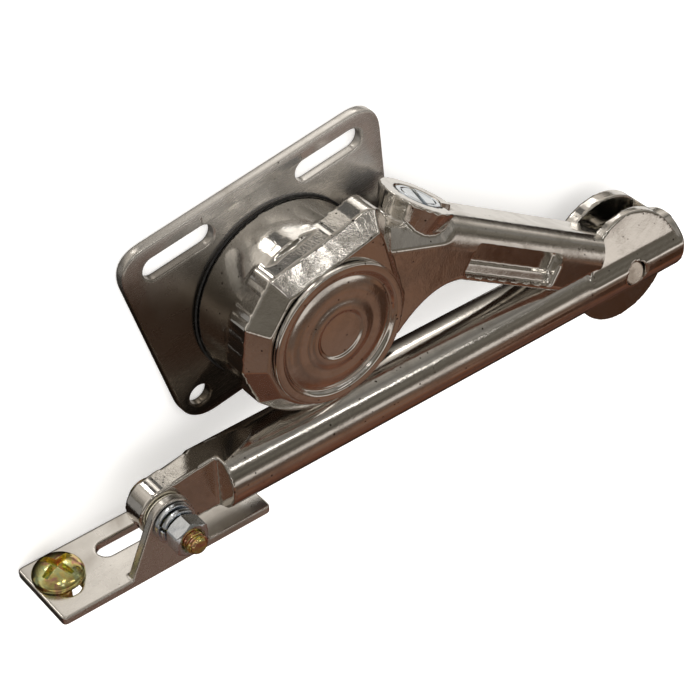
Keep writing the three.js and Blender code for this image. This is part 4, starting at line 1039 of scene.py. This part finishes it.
class CLOSER_OT_elbow(bpy.types.Operator):
    """Elbow pin and its washers"""
    bl_idname = "closer.elbow"
    bl_label = "Elbow pin"

    def execute(self, context):
        low, high = node_box("elbow_pin")
        head = (high.x - low.x) / 2
        head_height = 1
        radius = 3.0
        lean = 0.3  # slope of the pin's front end, dressed off level with the rod
        mesh = turned([
            (0, low.z + 0.15), (head * 0.5, low.z, 0.5), (head, low.z, 0.5), (head, low.z + head_height, 0.2),
            (radius, low.z + head_height, 0.1), (radius, high.z, 0.5), (radius - 0.9, high.z, 0.3),
            (radius - 1.2, high.z, 0.3), (0, high.z)], 0.2, 64)
        points = mesh_points(mesh)
        points[:, 2] -= (points[:, 1] + radius) * lean * smoothstep(points[:, 2], high.z - 4, high.z - 1)
        set_mesh_points(mesh, points)
        finished("headed_elbow_pin", mesh, placed(ELBOW, LINK_ANGLE), "satin_steel", "link", "elbow_pin",
                 material="pin_steel")
        for node in ("elbow_washer_back", "elbow_washer_front"):
            low, high = node_box(node)
            washer = ring((high.x - low.x) / 2, 3.3, low.z, high.z, 0.1, 64)
            finished(node + "_moulded", washer, placed(ELBOW, 0), "nylon", "link", node)
        return {"FINISHED"}


LONG_SLOT = (-0.4, 7.4)     # millimetres from the foot pivot, along the strip and in height
LONG_SLOT_LENGTH = 24.8
CROSS_SLOT = (-23.2, 9.4)
SCREW_HEIGHT = 7.8          # where the screw stands in the cross slot at rest


class CLOSER_OT_bracket(bpy.types.Operator):
    """Foot bracket: slotted strip with its ear turned up"""
    bl_idname = "closer.bracket"
    bl_label = "Foot bracket"

    def execute(self, context):
        sizes = context.scene.closer.foot
        drop, thickness, ear, left, right = in_mm(sizes, "drop", "thickness", "ear", "left", "right")
        slot_width, cross_width, cross_length, bolt = in_mm(
            sizes, "slot_width", "cross_width", "cross_length", "bolt")
        low, high = node_box("foot_bracket")
        front = high.z
        back = low.z
        under = -drop - thickness
        corner = 1.2
        tail_corner = 6
        strip = sheet_solid([
            rounded_outline([
                (-left, back, corner), (right, back, tail_corner), (right, front, corner),
                (-left, front, corner)]),
            slot_outline(*LONG_SLOT, LONG_SLOT_LENGTH, slot_width),
            slot_outline(*CROSS_SLOT, cross_length, cross_width, upright=True)], under, -drop, 0.3)
        strip.transform(Matrix.Rotation(math.pi / 2, 4, "X") @ Matrix.Diagonal((1, 1, -1, 1)))
        tidy(strip)
        root_left = -12.2   # where the ear leaves the strip
        root_right = 9.6
        ear_round = 5.6
        outline = [Vector((root_left, under + 0.4)), Vector((root_right, under + 0.4))]
        steps = 32
        for step in range(steps + 1):
            angle = math.radians(-8 + 158 * step / steps)
            outline.append(Vector((ear_round * math.cos(angle), ear_round * math.sin(angle))))
        bolt_hole = bolt + 0.6
        upright = sheet_solid([outline, slot_outline(0, 0, bolt_hole, bolt_hole)], front - ear, front, 0.25)
        mesh = remeshed(joined(strip, upright), 0.25)
        finished("bent_bracket", mesh, AT_FOOT, "satin_steel", "foot", "foot_bracket", smooth_angle=50)
        return {"FINISHED"}


def nut_mesh(flats, bottom, top, bore):
    """A hexagon nut whose corners are chamfered at both ends and slightly rounded."""
    sides = 144
    steps = 40
    chamfer = 1.6  # how fast the cone on the corners widens with depth
    heights = [bottom + (top - bottom) * step / steps for step in range(steps + 1)]
    corner_radius = flats / math.sqrt(3)
    vertices = []
    for height in heights:
        depth = min(height - bottom, top - height)
        cone = flats / 2 - 0.25 + depth * chamfer
        for side in range(sides):
            angle = 2 * math.pi * side / sides
            offset = (angle + math.pi / 6) % (math.pi / 3) - math.pi / 6
            flat = min(flats / 2 / math.cos(offset), corner_radius - 0.12)
            vertices.append(on_circle(min(flat, cone), angle, height))
    levels = [(bore + 0.5, top), (bore, top - 0.5), (bore, bottom + 0.5), (bore + 0.5, bottom)]
    for radius, height in levels:
        for side in range(sides):
            vertices.append(on_circle(radius, 2 * math.pi * side / sides, height))
    rows = len(heights) + len(levels)
    faces = []
    for row in range(rows):
        for side in range(sides):
            following = (side + 1) % sides
            low = row * sides
            high = (row + 1) % rows * sides
            faces.append((low + side, low + following, high + following, high + side))
    return mesh_from(vertices, faces)


def split_washer(outer, inner, bottom, top, gap, lift):
    """A spring washer: square wire, cut through and slightly sprung."""
    steps = 96
    vertices = []
    start = gap / outer
    for step in range(steps + 1):
        share = step / steps
        angle = start / 2 + (2 * math.pi - start) * share
        rise = lift * (share - 0.5)
        for radius, height in ((inner, bottom), (outer, bottom), (outer, top), (inner, top)):
            vertices.append(on_circle(radius, angle, height + rise))
    faces = [(0, 1, 2, 3), tuple(4 * steps + corner for corner in (3, 2, 1, 0))]
    for step in range(steps):
        for corner in range(4):
            near = 4 * step + corner
            following = 4 * step + (corner + 1) % 4
            faces.append((near, following, following + 4, near + 4))
    return softened(mesh_from(vertices, faces), 0.18, 3, 50)


class CLOSER_OT_foot_pivot(bpy.types.Operator):
    """Pivot bolt, washers and nut of the foot"""
    bl_idname = "closer.foot_pivot"
    bl_label = "Foot pivot"

    def execute(self, context):
        bolt, pitch, flats, washer = in_mm(context.scene.closer.foot, "bolt", "pitch", "nut", "washer")
        low, high = node_box("pivot_bolt")
        thread = bolt / 2
        core = thread - 0.5 * pitch
        shank_end = 21.0
        head = (high.x - low.x) / 2
        under_head = low.z + 1.6
        solid = turned([
            (0, low.z + 0.1), (head * 0.6, low.z, 0.6), (head, low.z, 0.5), (head, under_head, 0.15),
            (thread, under_head, 0.1), (thread, shank_end, 0.2), (core, shank_end + 0.4, 0.1),
            (core, high.z - 0.4, 0.2), (core - 0.4, high.z, 0.1), (0, high.z)], 0.15, 64)
        turns = (high.z - shank_end - 1.4) / pitch
        crest = 0.42 * pitch
        ridge = helix(thread - crest, turns * pitch, turns, crest, "yellow_zinc", 36, 8)
        ridge.transform(Matrix.Translation((0, 0, shank_end + 0.6)))
        finished("threaded_pivot_bolt", joined(solid, ridge), placed(FOOT, 0), "yellow_zinc", "foot",
                 "pivot_bolt")
        bore = thread + 0.3
        low, high = node_box("plain_washer")
        plain = ring(washer / 2, bore, low.z, high.z, 0.2)
        finished("pressed_washer", plain, placed(FOOT, 0), "zinc_plate", "foot", "plain_washer")
        low, high = node_box("spring_washer")
        sprung = split_washer((high.y - low.y) / 2, bore, low.z + 0.1, high.z - 0.1, 0.9, 0.2)
        finished("split_washer", sprung, placed(FOOT, math.radians(150)), "zinc_plate", "foot",
                 "spring_washer")
        low, high = node_box("pivot_nut")
        nut = nut_mesh(flats, low.z, high.z, bore - 0.15)
        finished("hexagon_nut", nut, placed(FOOT, LINK_ANGLE), "zinc_plate", "foot", "pivot_nut",
                 smooth_angle=24)
        low, high = node_box("ear_friction_washer")
        friction = ring(washer / 2, bore, low.z, high.z, 0.1)
        finished("moulded_friction_washer", friction, placed(FOOT, 0), "nylon", "foot",
                 "ear_friction_washer")
        return {"FINISHED"}


class CLOSER_OT_foot_screw(bpy.types.Operator):
    """Domed cross-recess screw in the foot bracket"""
    bl_idname = "closer.foot_screw"
    bl_label = "Foot screw"

    def execute(self, context):
        drop = in_mm(context.scene.closer.foot, "drop")[0]
        head = 6.0
        height = 3.6
        edge = 0.4         # upright edge below the dome
        thread = 2.4
        core = thread - 0.35
        end = -9.0
        pitch = 0.8
        crest = 0.25
        profile = [(0, end), (1.3, end), (core, end + 1.0), (core, -0.4), (thread - 0.1, 0), (head, 0, 0.2)]
        steps = 12
        for step in range(1, steps + 1):
            angle = math.pi / 2 * step / steps
            profile.append((head * math.cos(angle), edge + (height - edge) * math.sin(angle)))
        profile[-1] = (0, height)
        solid = turned(profile, 0.15, 96)
        for turn in (20, 110):
            recess = evaluated(bar(6.6, 1.2, 4.4, turn, height), ("SIMPLE_DEFORM", {
                "deform_method": "TAPER", "factor": 0.5, "deform_axis": "Z"}))
            solid = cut_from(solid, recess)
        solid = softened(solid, 0.09, 2, 45)
        run = 7.2
        ridge = helix(thread - crest, run, run / pitch, crest, "yellow_zinc", 36, 8)
        ridge.transform(Matrix.Translation((0, 0, end + 1.1)))
        stand = (AT_FOOT @ Matrix.Translation((CROSS_SLOT[0], -drop + 0.3, SCREW_HEIGHT))
                 @ Matrix.Rotation(-math.pi / 2, 4, "X"))
        finished("domed_foot_screw", joined(solid, ridge), stand, "yellow_zinc", "fixing_screw", "foot_screw")
        return {"FINISHED"}


# ---------------------------------------------------------------- stage
def floor_paint():
    """Matt white studio floor with the faintest mottle."""
    material, tree, shader = new_material("StudioFloorPaint")
    place = millimetre_space(tree)
    mottle = add(tree, "ShaderNodeTexNoise", {"Vector": place, "Scale": 0.004, "Detail": 3.0})
    shade = add(tree, "ShaderNodeMix", {
        "Factor": mottle.outputs["Fac"], "A": linear("#F4F3F1"), "B": linear("#FAF9F7")}, data_type="RGBA")
    tree.links.new(shade.outputs["Result"], shader.inputs["Base Color"])
    tree.links.new(shade.outputs["Result"], shader.inputs["Emission Color"])
    shader.inputs["Emission Strength"].default_value = 0.4
    shader.inputs["Roughness"].default_value = 0.8
    return material


def glow(name, code, strength):
    """A card that glows evenly."""
    material = bpy.data.materials.new(name)
    material.use_nodes = True
    tree = material.node_tree
    tree.nodes.clear()
    light = add(tree, "ShaderNodeEmission", {"Color": linear(code), "Strength": strength})
    output = add(tree, "ShaderNodeOutputMaterial")
    tree.links.new(light.outputs["Emission"], output.inputs["Surface"])
    return material


# Cards seen only by reflections: name, direction in the link's frame, distance, width and height in metres,
# strength.
CARDS = (
    ("lamp_row", (0.39, 0.53, 0.75), 0.8, 0.3, 0.05, 2.8),
    ("near_pane", (0.14, 0.7, 0.7), 0.8, 0.024, 0.02, 6.5),
    ("low_pane", (-0.12, 0.74, -0.66), 0.8, 0.14, 0.1, 5.0),
    ("side_pane", (0.52, 0.64, -0.56), 0.8, 0.08, 0.08, 4.0),
    ("far_pane", (-0.26, 0.6, 0.76), 0.8, 0.06, 0.08, 4.0),
    ("elbow_wall", (0.79, -0.13, -0.6), 1.0, 0.6, 0.5, 0.86),
    ("foot_wall", (-0.78, -0.05, -0.62), 1.0, 0.5, 0.45, 0.26),
    ("doorway", (0.05, 0.77, -0.63), 1.0, 0.2, 0.26, 0.12),
    ("slot_side_wall", (0.4, 0.69, -0.62), 1.0, 0.34, 0.3, 1.5),
    ("ceiling_pane", (-0.05, 0.88, 0.48), 0.8, 0.12, 0.12, 5.0),
    ("ceiling_end", (-0.36, 0.83, 0.43), 0.8, 0.1, 0.1, 4.0),
)


def panel(name, width, height):
    """A flat rectangle about the origin, facing up."""
    x = width / 2
    y = height / 2
    mesh = bpy.data.meshes.new(name)
    mesh.from_pydata([(-x, -y, 0), (x, -y, 0), (x, y, 0), (-x, y, 0)], [], [(0, 1, 2, 3)])
    return mesh


def card(name, towards, distance, width, height, material):
    """A studio card that only reflections see, facing the object."""
    mesh = panel(name, width, height)
    direction = Vector(towards).normalized()
    facing = direction.to_track_quat("Z", "Y").to_matrix().to_4x4()
    mesh.transform(Matrix.Translation(direction * distance) @ facing)
    mesh.materials.append(material)
    flag = bpy.data.objects.new(name, mesh)
    bpy.context.scene.collection.objects.link(flag)
    flag.visible_camera = False
    flag.visible_diffuse = False
    flag.visible_shadow = False


CAMERA_PLACE = Vector((-145.678, 290.805, 284.911))  # millimetres
CAMERA_VIEW = Vector((0.34967, -0.70585, -0.61604))
CAMERA_RIGHT = Vector((0.76803, -0.16059, 0.61995))
CAMERA_LENS = 99.33  # millimetres on a 36 mm frame, a short telephoto


def studio_camera():
    """The camera, above the closer and beside it, off its slotted edge and foot."""
    lens = bpy.data.cameras.new("studio_camera")
    lens.lens = CAMERA_LENS
    lens.sensor_width = 36
    lens.clip_start = mm(10)
    lens.clip_end = 20
    back = -CAMERA_VIEW
    right = CAMERA_RIGHT.normalized()
    up = back.cross(right).normalized()
    camera = bpy.data.objects.new("studio_camera", lens)
    turn = Matrix((right, up, back.normalized())).transposed().to_4x4()
    camera.matrix_world = Matrix.Translation(mm(CAMERA_PLACE)) @ turn
    bpy.context.scene.collection.objects.link(camera)
    bpy.context.scene.camera = camera


# What polished metal sees round it, by the angle about the closer's length: 0 is straight out from the plate,
# 90 is the slotted edge's side, where the room's ceiling is, and -90 is the bench's side.
ROOM_BANDS = (
    (-180, "#24201D"), (-140, "#1D1916"), (-105, "#33241B"), (-85, "#5E4136"), (-62, "#67493B"),
    (-50, "#6B554A"), (-38, "#6E584B"), (-29, "#5F4E43"), (-23, "#6E5E53"), (-18, "#DDD5CD"),
    (-8, "#E2DAD2"), (-4, "#7E766D"), (3, "#575148"), (18, "#6B665D"), (28, "#716C63"), (40, "#8F8B85"),
    (60, "#8E8A83"), (95, "#ADA79E"), (118, "#C6BFB6"), (128, "#EFE8DE"), (137, "#E2DACF"),
    (144, "#A39D95"), (152, "#8A857C"), (165, "#4A4540"), (180, "#24201D"),
)
SWAY = 0.22                      # radians that the bands wander
SURROUND = (1.3, 1.29, 1.28, 1)  # white that lights everything matt
TIMBER = (1.15, 0.86, 0.62, 1)   # what a bench board does to the light it sends back


def studio_world():
    """White surroundings for the light, and a banded room for the metal to reflect."""
    world = bpy.data.worlds.new("studio")
    world.use_nodes = True
    tree = world.node_tree
    tree.nodes.clear()
    # bands about the closer's length, wandering a little
    towards = add(tree, "ShaderNodeTexCoord")
    aligned = add(tree, "ShaderNodeMapping", {
        "Vector": towards.outputs["Generated"], "Rotation": (0, 0, -LINK_ANGLE)})
    parts = add(tree, "ShaderNodeSeparateXYZ", {"Vector": aligned.outputs["Vector"]})
    angle = add(tree, "ShaderNodeMath", {0: parts.outputs["Y"], 1: parts.outputs["Z"]}, operation="ARCTAN2")
    clutter = add(tree, "ShaderNodeTexNoise", {
        "Vector": aligned.outputs["Vector"], "Scale": 4.5, "Detail": 4.0, "Roughness": 0.55})
    wandered = add(tree, "ShaderNodeMath", {
        0: clutter.outputs["Fac"], 1: SWAY, 2: angle.outputs[0]}, operation="MULTIPLY_ADD")
    share = add(tree, "ShaderNodeMapRange", {
        "Value": wandered.outputs[0], "From Min": SWAY / 2 - math.pi, "From Max": SWAY / 2 + math.pi})
    bands = add(tree, "ShaderNodeValToRGB", {"Fac": share.outputs["Result"]})
    ramp = bands.color_ramp
    ramp.interpolation = "LINEAR"
    ramp.elements[0].color = linear(ROOM_BANDS[0][1])
    ramp.elements[1].color = linear(ROOM_BANDS[-1][1])
    for degrees, code in ROOM_BANDS[1:-1]:
        stop = ramp.elements.new((degrees + 180) / 360)
        stop.color = linear(code)
    shade = add(tree, "ShaderNodeMapRange", {
        "Value": clutter.outputs["Fac"], "From Min": 0.35, "From Max": 0.65,
        "To Min": 0.6, "To Max": 1.2})
    # stained boards on the bench's side
    benchward = add(tree, "ShaderNodeMapRange", {
        "Value": angle.outputs[0], "From Min": math.radians(-24), "From Max": math.radians(-34)})
    boards = add(tree, "ShaderNodeTexNoise", {
        "Vector": aligned.outputs["Vector"], "Scale": 7.0, "Detail": 2.0, "Roughness": 0.5,
        "Distortion": 0.6})
    stain = add(tree, "ShaderNodeMapRange", {
        "Value": boards.outputs["Fac"], "From Min": 0.42, "From Max": 0.62})
    stained = add(tree, "ShaderNodeMath", {
        0: stain.outputs["Result"], 1: benchward.outputs["Result"]}, operation="MULTIPLY")
    timber = add(tree, "ShaderNodeMix", {
        "Factor": stained.outputs[0], "A": (1, 1, 1, 1), "B": TIMBER}, data_type="RGBA")
    lit = add(tree, "ShaderNodeVectorMath", {
        0: bands.outputs["Color"], 1: timber.outputs["Result"]}, operation="MULTIPLY")
    room = add(tree, "ShaderNodeVectorMath", {0: lit.outputs["Vector"]}, operation="SCALE")
    tree.links.new(shade.outputs["Result"], room.inputs["Scale"])
    # reflections see the room, everything else sees white
    ray = add(tree, "ShaderNodeLightPath")
    seen = add(tree, "ShaderNodeMix", {
        "Factor": ray.outputs["Is Glossy Ray"], "A": SURROUND, "B": room.outputs["Vector"]},
        data_type="RGBA")
    background = add(tree, "ShaderNodeBackground", {"Color": seen.outputs["Result"], "Strength": 1.0})
    output = add(tree, "ShaderNodeOutputWorld")
    tree.links.new(background.outputs["Background"], output.inputs["Surface"])
    bpy.context.scene.world = world


class CLOSER_OT_stage(bpy.types.Operator):
    """Pale floor, soft lights and camera"""
    bl_idname = "closer.stage"
    bl_label = "Stage"

    def execute(self, context):
        scene = context.scene
        scene.view_settings.view_transform = "Standard"
        floor_side = 6.0
        mesh = panel("floor", floor_side, floor_side)
        mesh.transform(Matrix.Translation((0, 0, mm(-0.05))))
        mesh.materials.append(floor_paint())
        floor = bpy.data.objects.new("floor", mesh)
        scene.collection.objects.link(floor)
        floor.visible_glossy = False
        studio_world()
        turn = Matrix.Rotation(LINK_ANGLE, 3, "Z")
        for name, towards, distance, width, height, strength in CARDS:
            card(name, turn @ Vector(towards), distance, width, height, glow(name, "#FFFBF5", strength))
        bench_end = turn @ Vector((0.68, -0.56, 0.5))
        card("bench_end", bench_end, 1.0, 0.26, 0.3, glow("bench_end", "#8A5C40", 0.2))
        studio_camera()
        return {"FINISHED"}


# ---------------------------------------------------------------- panel and registration
OPERATORS = (
    CLOSER_OT_plate, CLOSER_OT_seal, CLOSER_OT_inside, CLOSER_OT_arm, CLOSER_OT_cap, CLOSER_OT_adjuster,
    CLOSER_OT_link, CLOSER_OT_elbow, CLOSER_OT_bracket, CLOSER_OT_foot_pivot, CLOSER_OT_foot_screw,
    CLOSER_OT_stage,
)


class CLOSER_PT_panel(bpy.types.Panel):
    """Lists the closer's pieces and sizes"""
    bl_idname = "CLOSER_PT_panel"
    bl_label = "Door closer"
    bl_space_type = "VIEW_3D"
    bl_region_type = "UI"
    bl_category = "Closer"

    def draw(self, context):
        for operator in OPERATORS:
            self.layout.operator(operator.bl_idname)
        settings = context.scene.closer
        for group in (settings.plate, settings.casting, settings.foot, settings.colours):
            column = self.layout.column()
            for name in group.bl_rna.properties.keys():
                if name not in ("rna_type", "name"):
                    column.prop(group, name)


CLASSES = (PlateSizes, CastingSizes, FootSizes, FinishColours, CloserSettings, *OPERATORS, CLOSER_PT_panel)


def register():
    """Adds the closer's classes and settings to Blender."""
    for item in CLASSES:
        bpy.utils.register_class(item)
    bpy.types.Scene.closer = bpy.props.PointerProperty(type=CloserSettings)


def unregister():
    """Takes them away again."""
    del bpy.types.Scene.closer
    for item in reversed(CLASSES):
        bpy.utils.unregister_class(item)


def main():
    """Builds every piece and the stage."""
    register()
    for operator in OPERATORS:
        group, name = operator.bl_idname.split(".")
        getattr(getattr(bpy.ops, group), name)()


if __name__ == "__main__":
    main()
